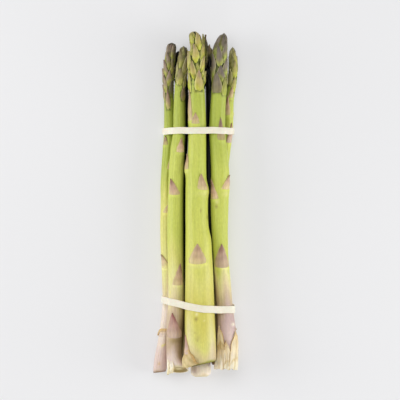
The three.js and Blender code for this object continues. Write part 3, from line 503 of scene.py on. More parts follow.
def linear(colour):
    """A colour from 0 to 255 as linear light."""
    share = np.asarray(colour, dtype=float) / 255
    return np.where(share < 0.04045, share / 12.92, ((share + 0.055) / 1.055) ** 2.4)


def laid_over(painted, colour, share):
    """A colour laid over painted ones, by shares from 0 to 1."""
    return painted + (colour - painted) * np.asarray(share)[..., None]


def smoothstep(low, high, value):
    share = np.clip((value - low) / (high - low), 0, 1)
    return share * share * (3 - 2 * share)


def bell(value):
    return np.exp(-value * value)


def plateau(value):
    """A bell with a flat top."""
    return np.exp(-(value / 1.1) ** 4)


def ends(spear):
    """Where along Y a spear's foot and tip are."""
    return spear["stations"][0][0], spear["stations"][-1][0]


def value_at(spear, along, column):
    """Values along a spear, on a smooth curve through its stations."""
    table = np.asarray(spear["stations"], dtype=float)
    places, values = table[:, 0], table[:, column]
    last = len(places) - 1
    before = np.maximum(np.arange(last + 1) - 1, 0)
    after = np.minimum(np.arange(last + 1) + 1, last)
    slopes = (values[after] - values[before]) / (places[after] - places[before])
    start = np.clip(np.searchsorted(places, along, side="right") - 1, 0, last - 1)
    span = places[start + 1] - places[start]
    t = np.clip((along - places[start]) / span, 0, 1)
    ease = t * t * (3 - 2 * t)
    return (
        values[start] * (1 - ease) + values[start + 1] * ease
        + span * (slopes[start] * t * (1 - t) ** 2 - slopes[start + 1] * t * t * (1 - t))
    )


def skin_points(spear, along, turn, out):
    """Points on a spear's skin, or standing out from it, for turns in radians."""
    across = (np.maximum(value_at(spear, along, HALF_WIDTH), 0) + out) * np.sin(turn)
    up = (np.maximum(value_at(spear, along, HALF_DEPTH), 0) + out) * np.cos(turn)
    foot, _ = ends(spear)
    near_foot = 1 - smoothstep(foot, foot + FOOT_REACH, along)
    cut = near_foot * (spear["foot_slope"] * across + spear["foot_tilt"] * up)
    return np.stack([
        value_at(spear, along, ACROSS) + across,
        along + cut,
        value_at(spear, along, UP) + up,
    ], axis=-1)


def wrapped(turn):
    """A turn in radians, between a half turn back and a half turn on."""
    return (turn + math.pi) % (2 * math.pi) - math.pi


def aside(turn, middle, size, half):
    """How far turns in radians are beside a middle one in degrees, in half widths."""
    return wrapped(turn - math.radians(middle)) * size / half


class SeededDraw:
    """The same draws on every run, as in the solids."""

    def __init__(self, seed):
        self.state = seed

    def __call__(self):
        self.state = self.state * DRAW_FACTOR % DRAW_RANGE
        return self.state / DRAW_RANGE


def is_pressed(spear, scale):
    """Whether a scale would be pressed against a neighbouring spear."""
    root, point, turn, half, rise = scale[:5]
    for share in (0, 0.25, 0.5, 0.75, 1):
        along = root + (point - root) * share
        side_turn = half * (1 - share) / value_at(spear, along, HALF_WIDTH)
        for side in (-side_turn, 0, side_turn):
            place = skin_points(spear, along, math.radians(turn) + side, rise)
            for other in SPEARS:
                columns = (ACROSS, UP, HALF_WIDTH, HALF_DEPTH)
                middle_x, middle_z, wide, deep = [value_at(other, along, column) for column in columns]
                x = (place[0] - middle_x) / (wide + NEIGHBOUR_GAP)
                z = (place[2] - middle_z) / (deep + NEIGHBOUR_GAP)
                if other is not spear and x * x + z * z < 1:
                    return True
    return False


def next_turn(turn):
    return (turn + SPIRAL_TURN + 180) % 360 - 180


def head_scale_half(spear, along):
    """Half the width of a head scale that isn't listed."""
    return 0.9 + 0.42 * value_at(spear, along, HALF_WIDTH)


def grown_scales(spear, draw):
    """The scales that the listed ones leave out: behind, and all round a spear that is out of sight."""
    hidden = len(spear["head_scales"]) < LISTED_HEAD_SCALES
    tone = spear["head_tone"]
    foot, tip = ends(spear)

    def is_kept(scale):
        if any(scale[1] > band["reach"][0] and scale[0] < band["reach"][1] for band in BANDS):
            return False
        return (hidden or abs(scale[2]) > SEEN_TURN) and not is_pressed(spear, scale)

    stem, head = [], []
    turn = 360 * draw()
    along = foot + STEM_SCALE_START
    while along < spear["head_start"] - STEM_SCALE_END:
        turn = next_turn(turn)
        half = STEM_SCALE_WIDTH * value_at(spear, along, HALF_WIDTH)
        point = along + STEM_SCALE_LENGTH + STEM_SCALE_CHANCE * draw()
        stem.append([along, point, turn, half, STEM_SCALE_RISE, 0, "tan"])
        along += STEM_SCALE_GAP + STEM_GAP_CHANCE * draw()
    for i in range(HEAD_SCALE_COUNT):
        turn = next_turn(turn)
        share = i / HEAD_SCALE_COUNT
        along = spear["head_start"] + (tip - spear["head_start"] - HEAD_SCALE_END) * share ** 0.9
        point = min(along + HEAD_SCALE_LENGTH - HEAD_SCALE_SHORTER * share, tip + 0.6)
        rise = HEAD_SCALE_RISE * (1 - 0.4 * share)
        head.append([along, point, turn, head_scale_half(spear, along), rise, 0, tone])
    stem, head = [[scale for scale in scales if is_kept(scale)] for scales in (stem, head)]
    for before, turn in TIP_SCALES:
        along = tip - before
        point = min(along + TIP_SCALE_LENGTH, tip - 1)
        scale = [along, point, turn, head_scale_half(spear, along), TIP_SCALE_RISE, 0, tone]
        if not is_pressed(spear, scale):
            head.append(scale)
    return stem, head


class Growth:
    """The points, faces and painted values of one piece, gathered part by part."""

    def __init__(self, spear=None):
        self.spear = spear
        self.points, self.faces, self.pigment, self.fibre, self.dryness = [], [], [], [], []
        self.count = 0

    def add(self, points, faces, pigment, dryness):
        flat = points.reshape(-1, 3)
        fibre = flat.copy()
        if self.spear:
            for axis, column in ((0, ACROSS), (2, UP)):
                fibre[:, axis] -= value_at(self.spear, flat[:, 1], column)
        self.points.append(flat)
        self.faces.append(faces + self.count)
        self.pigment.append(np.clip(pigment, 0, 255).reshape(-1, 3))
        self.fibre.append(fibre)
        self.dryness.append(np.broadcast_to(dryness, len(flat)))
        self.count += len(flat)


def grid_faces(rows, columns, round_rows=True, closed_ring=False):
    """Quads over a grid of points, joined round its rows, and last row to first in a closed ring."""
    row = np.arange(rows if closed_ring else rows - 1)[:, None]
    column = np.arange(columns if round_rows else columns - 1)[None, :]
    following = (column + 1) % columns
    low, high = row * columns, (row + 1) % rows * columns
    quads = [low + column, low + following, high + following, high + column]
    return np.stack(quads, axis=-1).reshape(-1, 4)


def relief(spear, along, turn):
    """How far the skin of a stem stands out: ridges along it, slow lumps, nodes and marks."""
    size = value_at(spear, along, HALF_WIDTH)
    phases = spear["phases"]
    out = 0 * along + 0 * turn
    for i, phase in enumerate(phases):
        drift = 0.9 * np.sin(along / (23 + 5 * i) + phase)
        fading = 0.6 + 0.4 * np.sin(along / (14 + 3 * i) + 2 * phase + turn)
        out = out + RIDGE_RISE * fading * np.sin((7 + 4 * i) * turn + phase + drift)
    out = out + LUMP_RISES[0] * np.sin(along / 9.0 + 2 * turn + phases[0])
    out = out + LUMP_RISES[1] * np.sin(along / 17.0 - turn + phases[1])
    in_head = smoothstep(spear["head_start"] - 2, spear["head_start"] + 8, along)
    bumps = np.sin(1.7 * along + 4 * turn) * np.sin(1.1 * along - 6 * turn + phases[2])
    out = out + BUMP_RISE * in_head * bumps
    for root, _, scale_turn, half, rise in [scale[:5] for scale in spear["nodes"]]:
        beside = aside(turn, scale_turn, size, half)
        out = out + NODE_RISE * rise * bell((along - root + 0.9) / 1.9) * plateau(beside)
        trail = smoothstep(root - 26, root - 2, along) * smoothstep(root + 1, root - 3, along)
        for side in (-1, 1):
            out = out + TRAIL_RISE * trail * bell((beside - side * 0.95) * half / 0.7)
    for along_mark, turn_mark, length, width, rise, _, _ in spear["marks_and_painted_light"]:
        out = out + rise * bell((along - along_mark) / length) * bell(aside(turn, turn_mark, size, width))
    foot, _ = ends(spear)
    return out - spear["foot_round"] * bell((along - foot) / 1.1)


def crevice_shade(spear, along, turn, scales):
    """How much painted shade lies round head scales, from 0 to 1: darkest along their edges."""
    size = np.maximum(value_at(spear, along, HALF_WIDTH), 1.0)
    dark = 0 * along + 0 * turn
    for root, point, scale_turn, half, _, lean in [scale[:6] for scale in scales]:
        share = (along - root) / (point - root)
        width, _ = bud_form(0.0, np.clip(share, 0.08, 0.97), 1.0)
        middle = np.radians(scale_turn + lean * share)
        beside = np.abs(wrapped(turn - middle)) * (size + 0.8) - half * width
        beyond = np.maximum(along - point, root - 0.2 * half - along)
        away = np.hypot(np.maximum(beside, 0), np.maximum(beyond, 0))
        patchy = 0.5 + 0.5 * np.sin(1.3 * along + 3 * turn + root) * np.sin(0.7 * along - 5 * turn)
        flank = smoothstep(-0.2, 0.1, share) * smoothstep(1.02, 0.6, share)
        shade_below = 0.12 if root < spear["head_start"] + LEAF_REACH else 0.35
        shade = (0.3 + 0.7 * patchy) * (shade_below + (1 - shade_below) * flank)
        dark = np.maximum(dark, bell(away / (0.4 + 0.55 * patchy)) * shade)
    return dark * spear["depth"]


def skin_pigment(spear, along, turn):
    """The colour of a stem's skin: its stops along the spear, faint stripes, a shelf under each scale that
    is partly a painted highlight, marks, painted shade and the cut rim.
    """
    places = [place for place, _ in spear["skin"]]
    stops = np.array([PALETTE[name] for _, name in spear["skin"]])
    phases = spear["phases"]
    size = value_at(spear, along, HALF_WIDTH)
    foot, tip = ends(spear)
    slow = 3.5 * np.sin(3 * turn + phases[2]) + 2.5 * np.sin(5 * turn + along / 30 + phases[3])
    shifted = along + slow * (1 - smoothstep(60, 80, along))
    painted = np.stack([np.interp(shifted, places, stops[:, k]) for k in range(3)], axis=-1)
    wander = 0.9 * np.sin(along / 21 + phases[3]) + 0.5 * np.sin(along / 8 + phases[2])
    stripe = 3.0 * np.sin(9 * turn + phases[0] + wander) * np.sin(along / 16 + 2 * turn + phases[1])
    stripe = stripe + 2.4 * np.sin(19 * turn + phases[4] - wander) * np.sin(along / 11 - turn)
    painted = painted + stripe[..., None] * np.array([1.0, 0.9, 0.6])
    # A paler band just under each scale's root: partly the node's own colour, partly a painted highlight on
    # its shelf.
    for root, _, scale_turn, half in [scale[:4] for scale in spear["nodes"]]:
        shelf = bell((along - root + 1.2) / 1.3) * plateau(aside(turn, scale_turn, size, half))
        painted = painted + 16 * shelf[..., None] * np.array([1.0, 0.95, 0.8])
    for along_mark, turn_mark, length, width, _, colour, strength in spear["marks_and_painted_light"]:
        spot = bell((along - along_mark) / length) * bell(aside(turn, turn_mark, size, width))
        painted = laid_over(painted, PALETTE[colour], strength * spot)
    # Painted shade: a head's core is dark between its scales, but on the sides and underneath it takes their
    # middle colour; then the skin is darkened round each scale.
    under = smoothstep(0.4, -0.05, np.cos(turn)) * smoothstep(spear["head_start"] + 12, tip - 8, along)
    painted = laid_over(painted, TONES[spear["head_tone"]][1], 0.85 * under)
    painted = laid_over(painted, PALETTE["crevice_shade"], crevice_shade(spear, along, turn, spear["buds"]))
    return laid_over(painted, PALETTE[spear["foot_rim"]], 0.9 * bell((along - foot) / 0.95))


def shaded(spear, along, turn, painted):
    """Colours darkened where a spear lies deep between others and no light comes."""
    if "gloom" not in spear:
        return painted
    start, full, fade, end = spear["gloom"]
    share = smoothstep(start, full, along) * smoothstep(end, fade, along)
    return laid_over(painted, PALETTE["gloom"], share * smoothstep(-0.35, 0.2, np.cos(turn)))


def add_skin(growth, spear):
    """The stem of a spear, its cut foot and the core of its head."""
    foot, tip = ends(spear)
    head = spear["head_start"]
    along = np.concatenate([
        foot + np.array([0.0, 0.25, 0.55]),
        np.linspace(foot + 1, head, int((head - foot) / SKIN_STEP), endpoint=False),
        np.linspace(head, tip - 0.15, int((tip - head) / HEAD_SKIN_STEP)),
    ])
    turn = np.linspace(0, 2 * math.pi, SKIN_SIDES, endpoint=False)
    along_grid, turn_grid = np.meshgrid(along, turn, indexing="ij")
    out = relief(spear, along_grid, turn_grid) * smoothstep(tip, tip - 6, along_grid)
    points = skin_points(spear, along_grid, turn_grid, out)
    pigment = shaded(spear, along_grid, turn_grid, skin_pigment(spear, along_grid, turn_grid))
    growth.add(points, grid_faces(len(along), SKIN_SIDES), pigment, 0.0)
    add_cut_foot(growth, points[0])
    end = skin_points(spear, np.array([tip]), np.array([0.0]), 0)
    add_fan(growth, points[-1], end[0], pigment[-1])


def add_fan(growth, ring, middle, pigment, flipped=False):
    """Faces from a ring of points to the point in its middle."""
    side = np.arange(len(ring))
    last = np.full(len(ring), len(ring))
    corners = [(side + 1) % len(ring), side] if flipped else [side, (side + 1) % len(ring)]
    points = np.concatenate([ring, middle[None, :]])
    pigment = np.concatenate([pigment, pigment[:1]])
    growth.add(points, np.stack([*corners, last, last], axis=-1), pigment, 0.0)


def add_cut_foot(growth, rim):
    """The cut face: a shallow dish with a pale heart, a brown ring, fibre dots and a dry rim."""
    middle = rim.mean(axis=0)
    shares = np.concatenate([[1.0, 0.97], np.linspace(0.92, 0.04, CUT_ROWS)])
    rows = middle + (rim - middle) * shares[:, None, None]
    rows[..., 1] += 0.95 * smoothstep(1, 0.35, shares)[:, None]
    tint = laid_over(PALETTE["straw"], PALETTE["wood"], smoothstep(0.1, 0.6, shares))
    tint = laid_over(tint, PALETTE["ivory"], smoothstep(0.8, 0.95, shares))
    around = np.linspace(0, 2 * math.pi, len(rim), endpoint=False)[None, :]
    inward = shares[:, None]
    dots = np.sin(23 * around + 5 * inward) * np.sin(46 * inward + 3 * np.sin(2 * around))
    dots = smoothstep(0.15, 0.8, dots) * smoothstep(0.95, 0.8, inward)
    pigment = tint[:, None, :] - 26 * dots[..., None] * np.array([0.8, 0.9, 1.0])
    growth.add(rows, grid_faces(len(shares), len(rim))[:, ::-1], pigment, 0.4)
    add_fan(growth, rows[-1], rows[-1].mean(axis=0), pigment[-1], flipped=True)


def bract_form(across, share, rise):
    """A stem scale: a triangle that grows out of the stem and whose point stands a little off."""
    width = (1 - share) ** 0.85 * (1 + 0.22 * np.sin(math.pi * share))
    height = rise * smoothstep(-0.12, 0.4, share) * (1 - 0.25 * share)
    height = height * (1 - 0.6 * np.abs(across) ** 3) + 0.45 * rise * smoothstep(0.7, 1, share)
    return width, height + 0.12 * bell(across / 0.14) * share


def bud_form(across, share, rise):
    """A head scale: a drop with a round root and a full body, its point over the next one's root."""
    low = 0.55 + 0.45 * np.sqrt(np.clip(1 - (1 - share / BUD_WIDEST) ** 2, 0, 1))
    taper = np.clip(1 - share, 0, 1) / (1 - BUD_WIDEST)
    high = taper ** 0.72 * (1 + 0.12 * np.sin(math.pi * (share - BUD_WIDEST) / (1 - BUD_WIDEST)))
    width = np.where(share < BUD_WIDEST, low, high)
    body = rise * (0.42 + 0.58 * smoothstep(0, 0.3, share)) + 0.55 * smoothstep(0.5, 1, share)
    crown = np.sqrt(np.clip(1 - 0.8 * np.abs(across) ** 2.3, 0, 1))
    return width, body * crown + 0.09 * bell(across / 0.14) * smoothstep(0.2, 0.6, share)


def leaf_form(across, share, rise):
    """A scale at the foot of a head: wide and merged at the root, then a pointed arch."""
    taper = np.maximum(share - LEAF_WIDEST, 0) / (1 - LEAF_WIDEST)
    width = np.where(share < LEAF_WIDEST, 0.86 + 0.56 * share, 1 - taper ** 1.6)
    body = rise * smoothstep(-0.08, 0.4, share) * (1 - 0.5 * np.abs(across) ** 3)
    return width, body + 0.5 * smoothstep(0.6, 1, share) + 0.1 * bell(across / 0.14) * share


def plate_creases(across, share):
    """Where a dry plate is creased: one fold up along it, and one arched across it."""
    return bell((across + 0.3 - 0.5 * share) / 0.09) + bell((share - 0.3 + 0.25 * across ** 2) / 0.04)


def cuff_creases(across, share):
    """Where a cuff is creased: two slanting folds."""
    return bell((across - 1 + 0.9 * share) / 0.13) + 0.6 * bell((across - 0.3 + 0.7 * share) / 0.14)


def plate_form(across, share, rise):
    """A dry sheath: a long papery plate, arched at the top, with edges that curl outward."""
    body = rise * (0.75 - 0.3 * np.abs(across) ** 3)
    curl = 0.5 * smoothstep(0.8, 1, share) + 0.4 * smoothstep(0.75, 1, np.abs(across))
    folds = 0.16 * np.sin(across * 6 + 2.5 * share) + 0.1 * np.sin(across * 13 - 4 * share)
    return np.clip(1 - share ** 2.5, 0, 1), body + curl + folds - 0.35 * plate_creases(across, share)


def cuff_form(across, share, rise):
    """A torn sheath at a cut end: it bulges over the cut, with two creases and a ragged top."""
    width = 1 - 0.5 * share + 0.04 * np.sin(math.pi * share)
    body = rise * (1 - 0.75 * smoothstep(0.3, 1, share)) * (1 - 0.4 * np.abs(across) ** 2)
    return width, body - 0.5 * cuff_creases(across, share) + 0.3 * smoothstep(0.8, 1, share)


def strip_form(across, share, rise):
    """A torn strip of skin: straight sides, and a top that runs into the stem."""
    body = rise * (1 - 0.85 * smoothstep(0.4, 1, share)) + 0.14 * np.sin(across * 9) * (1 - share)
    return 1 - 0.15 * share ** 3, body


def collar_form(across, share, rise):
    """A dry collar round a stem: low and wide, with a rolled top edge."""
    roll = 0.9 * smoothstep(0.55, 0.95, share)
    return 1 - 0.08 * share, rise * (0.35 + 0.5 * share) + roll + 0.1 * np.sin(across * 9)


def flap_form(across, share, rise):
    """A fleshy sheath at a cut end: broad at the cut, narrow above, with a fold along it."""
    width = (1 - share) ** 0.7 * (1 + 0.1 * np.sin(math.pi * share)) + 0.02
    body = rise * (1 - 0.62 * smoothstep(0.25, 0.75, share)) * (1 - 0.55 * smoothstep(-0.2, 1, across))
    fold = 0.55 * bell((across - 0.35 - 0.5 * share) / 0.14) * smoothstep(0.7, 0.3, share)
    return width, body + fold


# The form, creases and crease colour of each kind of sheath, the forms with torn edges, and how far the
# roots of scales sag, in half widths
SHEATHS = {
    "flap": flap_form, "cuff": cuff_form, "sheath": collar_form, "strip": strip_form,
    "husk": cuff_form, "tan_dry": plate_form, "dry": plate_form,
}
CREASES = {
    "cuff": (cuff_creases, "olive_brown"), "husk": (cuff_creases, "dry_gold"),
    "dry": (plate_creases, "dry_gold"), "tan_dry": (plate_creases, "dry_gold"),
}
TORN = (plate_form, cuff_form, strip_form)
SAGS = {bud_form: 0.38, leaf_form: 0.1, bract_form: 0.16, flap_form: -0.1}

# How dry each tone is, from 0 to 1, where it isn't fresh
FRESH = 0.1
DRYNESS = {
    "pink": 0.3, "flap": 0.4, "sheath": 0.6, "cuff": 0.6, "strip": 0.7, "husk": 1.0, "tan_dry": 1.0,
    "dry": 1.0,
}


def add_scale(growth, spear, scale, form, draw):
    """One scale as a closed thin shell whose root is sunk in the stem."""
    root, point, turn, half, rise, lean, tone = scale
    if form is bud_form and root < spear["head_start"] + LEAF_REACH:
        form = leaf_form
    in_head = form in (bud_form, leaf_form)
    share = np.linspace(0, 1, SCALE_ROWS)[:, None] ** 1.05
    across = np.linspace(-1, 1, SCALE_COLUMNS)[None, :]
    width, height = form(across, share, rise)
    wobble = 0.06 * np.sin(9 * share + 6.28 * draw()) + 0.03 * np.sin(21 * share + 6.28 * draw())
    bend = 0.12 * half * np.sin(5 * share + 6.28 * draw()) if form is bud_form else 0
    half_width = half * np.maximum(width * (1 + wobble), 0.02)
    sag = SAGS.get(form, 0) * half * (1 - across ** 2) * (1 - share) ** 2
    ragged = 0.0
    if form in TORN:
        ragged = 0.5 * np.sin(across * 5 + 6.28 * draw()) + 0.3 * np.sin(across * 11 + 6.28 * draw())
    if form is collar_form:
        ragged = 5.0 * smoothstep(0.2, 1, share) * np.clip(-across, 0, 1) ** 3
    along = root + (point - root) * share - sag - ragged
    radius = np.maximum(value_at(spear, along, HALF_WIDTH) + rise * 0.7, 1.0)
    angle = np.radians(turn + lean * share) + (across * half_width + bend) / radius
    if in_head:
        _, tip = ends(spear)
        closing = 0.7 * smoothstep(tip - TIP_CLOSING, tip, along) if point < tip + 1 else 0
        top_out = height * (1 - closing)
    else:
        top_out = height + relief(spear, along, angle)
    thick = 0.3 + (height + 0.8) * (1 - smoothstep(0.02, 0.62, share))
    if form in SHEATHS.values():
        thick = height + 0.6 - (height + 0.2) * smoothstep(0.7, 0.95, share)
    top = skin_points(spear, along, angle, top_out)
    under = skin_points(spear, along, angle, top_out - thick)
    pigment = scale_pigment(tone, across, share, 0.1 if in_head else 0.0, draw)
    if in_head:
        # Painted shade on this scale, along the edges of the lower scales whose points lie over it.
        nearer = [other for other in spear["buds"] if other[0] < root - 0.5]
        pigment = laid_over(pigment, PALETTE["crevice_shade"], 0.65 * crevice_shade(spear, along, angle, nearer))
    pigment = shaded(spear, along, angle, pigment)
    rows, columns = top.shape[:2]
    top_faces = grid_faces(rows, columns, round_rows=False)
    under_faces = top_faces[:, ::-1] + rows * columns
    faces = np.concatenate([top_faces, under_faces, edge_faces(rows, columns)])
    both = np.concatenate([top.reshape(-1, 3), under.reshape(-1, 3)])
    # The underside is painted darker than the top: painted shade.
    shade_below = pigment * (0.75 if form is bud_form else 0.9)
    growth.add(both, faces, np.stack([pigment, shade_below]), DRYNESS.get(tone, FRESH))


def edge_faces(rows, columns):
    """Quads that join the rims of two grids, one on top of the other."""
    size = rows * columns
    left = np.arange(rows) * columns
    right = left + columns - 1
    low = np.arange(columns)
    high = low + (rows - 1) * columns
    quads = []
    for rim in (left, high, right[::-1], low[::-1]):
        start, end = rim[:-1], rim[1:]
        quads.append(np.stack([start, end, end + size, start + size], axis=-1))
    return np.concatenate(quads)


def scale_pigment(tone, across, share, green_end, draw):
    """A scale's colours: root, middle and point, a margin, fine veins, stains and creases."""
    root, middle, tip, margin = TONES[tone]
    shade = 16 * (draw() - 0.5)
    blotch = 8 * np.sin(7 * share + 3 * across + 6.28 * draw()) * np.sin(11 * share - 4 * across)
    skewed = share + 0.12 * np.sin(across * 2 + 6.28 * draw())
    painted = laid_over(root, middle, smoothstep(green_end, 0.5, skewed))
    painted = laid_over(painted, tip, smoothstep(0.5, 1.0, skewed))
    # The margin: on head scales paler, partly a painted highlight along the edge; on dry sheaths a darker
    # rim.
    inner = 0.84 if tone in ("husk", "dry", "tan_dry") else 0.66
    painted = laid_over(painted, margin, smoothstep(inner, 0.96, np.abs(across)) * (1 - 0.2 * share))
    vein = 4 * np.sin(across * 13 + 6.28 * draw()) + 3 * np.sin(across * 23 + 5 * share) + shade + blotch
    stain = np.sin(across * 9 + 4 * share + 6.28 * draw()) * np.sin(share * 8 - 3 * across + 6.28 * draw())
    vein = vein - 9 * DRYNESS.get(tone, FRESH) ** 2 * smoothstep(0.25, 0.8, stain)
    if tone in CREASES:
        creases, line = CREASES[tone]
        painted = laid_over(painted, PALETTE[line], 0.45 * np.clip(creases(across, share), 0, 1))
    return painted + vein[..., None] * np.array([1.0, 0.95, 0.8])


def make_piece(name, growth, look):
    """A mesh object with the painted values as attributes of its points."""
    points = np.concatenate(growth.points) * MM
    faces = np.concatenate(growth.faces)
    mesh = bpy.data.meshes.new(name)
    mesh.vertices.add(len(points))
    mesh.vertices.foreach_set("co", points.ravel())
    sizes = np.where(faces[:, 2] != faces[:, 3], 4, 3)
    corners = faces.ravel()[(np.arange(4)[None, :] < sizes[:, None]).ravel()]
    mesh.loops.add(len(corners))
    mesh.loops.foreach_set("vertex_index", corners.astype(np.int32))
    mesh.polygons.add(len(faces))
    starts = np.concatenate([[0], np.cumsum(sizes)[:-1]])
    mesh.polygons.foreach_set("loop_start", starts.astype(np.int32))
    mesh.polygons.foreach_set("use_smooth", np.ones(len(faces), dtype=bool))
    mesh.update(calc_edges=True)
    pigment = np.ones((len(points), 4))
    pigment[:, :3] = linear(np.concatenate(growth.pigment))
    for key, kind, field, values in (
        ("pigment", "FLOAT_COLOR", "color", pigment),
        ("fibre", "FLOAT_VECTOR", "vector", np.concatenate(growth.fibre) * MM),
        ("dryness", "FLOAT", "value", np.concatenate(growth.dryness).astype(float)),
    ):
        mesh.attributes.new(key, kind, "POINT").data.foreach_set(field, values.ravel())
    mesh.set_sharp_from_angle(angle=math.radians(SHARP_EDGE))
    mesh.materials.append(look)
    piece = bpy.data.objects.new(name, mesh)
    bpy.context.scene.collection.objects.link(piece)
    return piece


class Nodes:
    """Short calls for a material's nodes."""

    def __init__(self, name):
        self.material = bpy.data.materials.new(name)
        self.material.use_nodes = True
        self.tree = self.material.node_tree
        self.shader = self.tree.nodes["Principled BSDF"]

    def new(self, kind, **values):
        node = self.tree.nodes.new(kind)
        for key, value in values.items():
            setattr(node, key, value)
        return node

    def feed(self, socket, value):
        """A number, a colour or another node's output, into a socket."""
        if isinstance(value, (int, float)):
            socket.default_value = value
        elif isinstance(value, tuple):
            socket.default_value = (*value, 1.0)
        else:
            self.tree.links.new(value, socket)

    def dress(self, **sockets):
        """Fills the shader's sockets. An underscore stands for a space in a socket's name."""
        for key, value in sockets.items():
            self.feed(self.shader.inputs[key.replace("_", " ")], value)

    def attribute(self, name, output):
        return self.new("ShaderNodeAttribute", attribute_name=name).outputs[output]

    def noise(self, vector, stretch, scale, detail):
        mapping = self.new("ShaderNodeMapping")
        mapping.inputs["Scale"].default_value = stretch
        self.feed(mapping.inputs["Vector"], vector)
        noise = self.new("ShaderNodeTexNoise")
        self.feed(noise.inputs["Scale"], scale)
        self.feed(noise.inputs["Detail"], detail)
        self.feed(noise.inputs["Vector"], mapping.outputs["Vector"])
        return noise.outputs["Fac"]

    def spread(self, value, low, high, to_low, to_high):
        node = self.new("ShaderNodeMapRange")
        for key, number in (("From Min", low), ("From Max", high), ("To Min", to_low), ("To Max", to_high)):
            self.feed(node.inputs[key], number)
        self.feed(node.inputs["Value"], value)
        return node.outputs["Result"]

    def math(self, operation, first, second):
        node = self.new("ShaderNodeMath", operation=operation)
        self.feed(node.inputs[0], first)
        self.feed(node.inputs[1], second)
        return node.outputs["Value"]

    def mix(self, blend, factor, first, second):
        node = self.new("ShaderNodeMix", data_type="RGBA", blend_type=blend)
        for place, value in ((0, factor), (6, first), (7, second)):
            self.feed(node.inputs[place], value)
        return node.outputs[2]

    def bump(self, height, strength, distance):
        node = self.new("ShaderNodeBump")
        for key, value in (("Strength", strength), ("Distance", distance), ("Height", height)):
            self.feed(node.inputs[key], value)
        return node.outputs["Normal"]


def spear_material():
    """Waxy plant skin: painted pigment, fibres along the spear, blotches and a soft gloss."""
    nodes = Nodes("asparagus_skin")
    fibre = nodes.attribute("fibre", "Vector")
    dryness = nodes.attribute("dryness", "Fac")
    streaks = nodes.noise(fibre, (1.0, 0.035, 1.0), 2600.0, 3.0)
    broad = nodes.noise(fibre, (1.0, 0.12, 1.0), 420.0, 3.0)
    grain = nodes.noise(fibre, (1.0, 0.6, 1.0), 3800.0, 2.0)
    patches = nodes.noise(fibre, (1.0, 0.45, 1.0), 900.0, 3.0)
    mottled = nodes.spread(patches, 0.3, 0.7, 0.94, 1.05)
    shade = nodes.math("MULTIPLY", nodes.spread(streaks, 0.3, 0.7, 0.94, 1.05), mottled)
    blue_shade = nodes.math("MULTIPLY", nodes.spread(streaks, 0.3, 0.7, 0.88, 1.06), mottled)
    tint = nodes.new("ShaderNodeCombineColor")
    for place, value in enumerate((shade, shade, blue_shade)):
        nodes.feed(tint.inputs[place], value)
    streaked = nodes.mix("MULTIPLY", 1.0, nodes.attribute("pigment", "Color"), tint.outputs[0])
    blush = nodes.spread(broad, 0.52, 0.72, 0.0, 0.16)
    rough = nodes.math("ADD", nodes.spread(grain, 0.3, 0.7, 0.36, 0.5), nodes.math("MULTIPLY", dryness, 0.25))
    height = nodes.math("ADD", nodes.math("MULTIPLY", streaks, 0.7), nodes.math("MULTIPLY", grain, 0.3))
    nodes.dress(
        Base_Color=nodes.mix("MULTIPLY", blush, streaked, (0.92, 0.80, 0.62)),
        Roughness=rough,
        Normal=nodes.bump(height, 0.35, 0.0002),
        Subsurface_Weight=0.12,
        Subsurface_Scale=0.0015,
        Specular_IOR_Level=0.3,
    )
    nodes.shader.inputs["Subsurface Radius"].default_value = (0.9, 1.0, 0.35)
    return nodes.material


def rubber_material():
    """Cream rubber: a dusty matt face, mottled, with faint stretch lines."""
    nodes = Nodes("cream_rubber")
    fibre = nodes.attribute("fibre", "Vector")
    mottle = nodes.noise(fibre, (1.0, 1.0, 1.0), 300.0, 4.0)
    lines = nodes.noise(fibre, (0.15, 1.0, 0.15), 2400.0, 2.0)
    worn, pale = tuple(linear(PALETTE["worn_rubber"])), tuple(linear(PALETTE["pale_rubber"]))
    colour = nodes.mix("MIX", nodes.spread(mottle, 0.3, 0.7, 0.2, 1.0), worn, pale)
    nodes.dress(
        Base_Color=nodes.mix("MULTIPLY", nodes.spread(lines, 0.4, 0.8, 0.0, 0.12), colour, (0.8, 0.76, 0.66)),
        Roughness=nodes.spread(mottle, 0.3, 0.7, 0.55, 0.72),
        Normal=nodes.bump(lines, 0.25, 0.0001),
        Subsurface_Weight=0.1,
        Subsurface_Scale=0.001,
    )
    return nodes.material


def make_spear(spear, number, draw, look):
    """One spear, all in one mesh, in place of its solid."""
    spear["phases"] = [1.7 * number + 2.1 * k for k in range(5)]
    stem, head = grown_scales(spear, draw)
    spear["nodes"] = spear["bracts"] + stem
    spear["buds"] = spear["head_scales"] + head
    growth = Growth(spear)
    variation = SeededDraw(SEED + 100 * number + 11)
    add_skin(growth, spear)
    for scale in spear["nodes"]:
        add_scale(growth, spear, scale, bract_form, variation)
    for scale in spear["plates"]:
        add_scale(growth, spear, scale, SHEATHS[scale[6]], variation)
    for scale in spear["buds"]:
        add_scale(growth, spear, scale, bud_form, variation)
    piece = make_piece(spear["name"] + "_fine", growth, look)
    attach(piece, "root")
    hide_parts(spear["name"])
    return np.concatenate(growth.points)


def convex_hull(points):
    """The corners of the outline that a stretched band takes round some points."""
    ordered = points[np.lexsort((points[:, 1], points[:, 0]))]

    def half(list_of_points):
        kept = []
        for x, y in list_of_points:
            while len(kept) > 1:
                (ax, ay), (bx, by) = kept[-2:]
                if (bx - ax) * (y - ay) - (by - ay) * (x - ax) > 0:
                    break
                kept.pop()
            kept.append((x, y))
        return kept[:-1]

    return np.array(half(ordered) + half(ordered[::-1]))


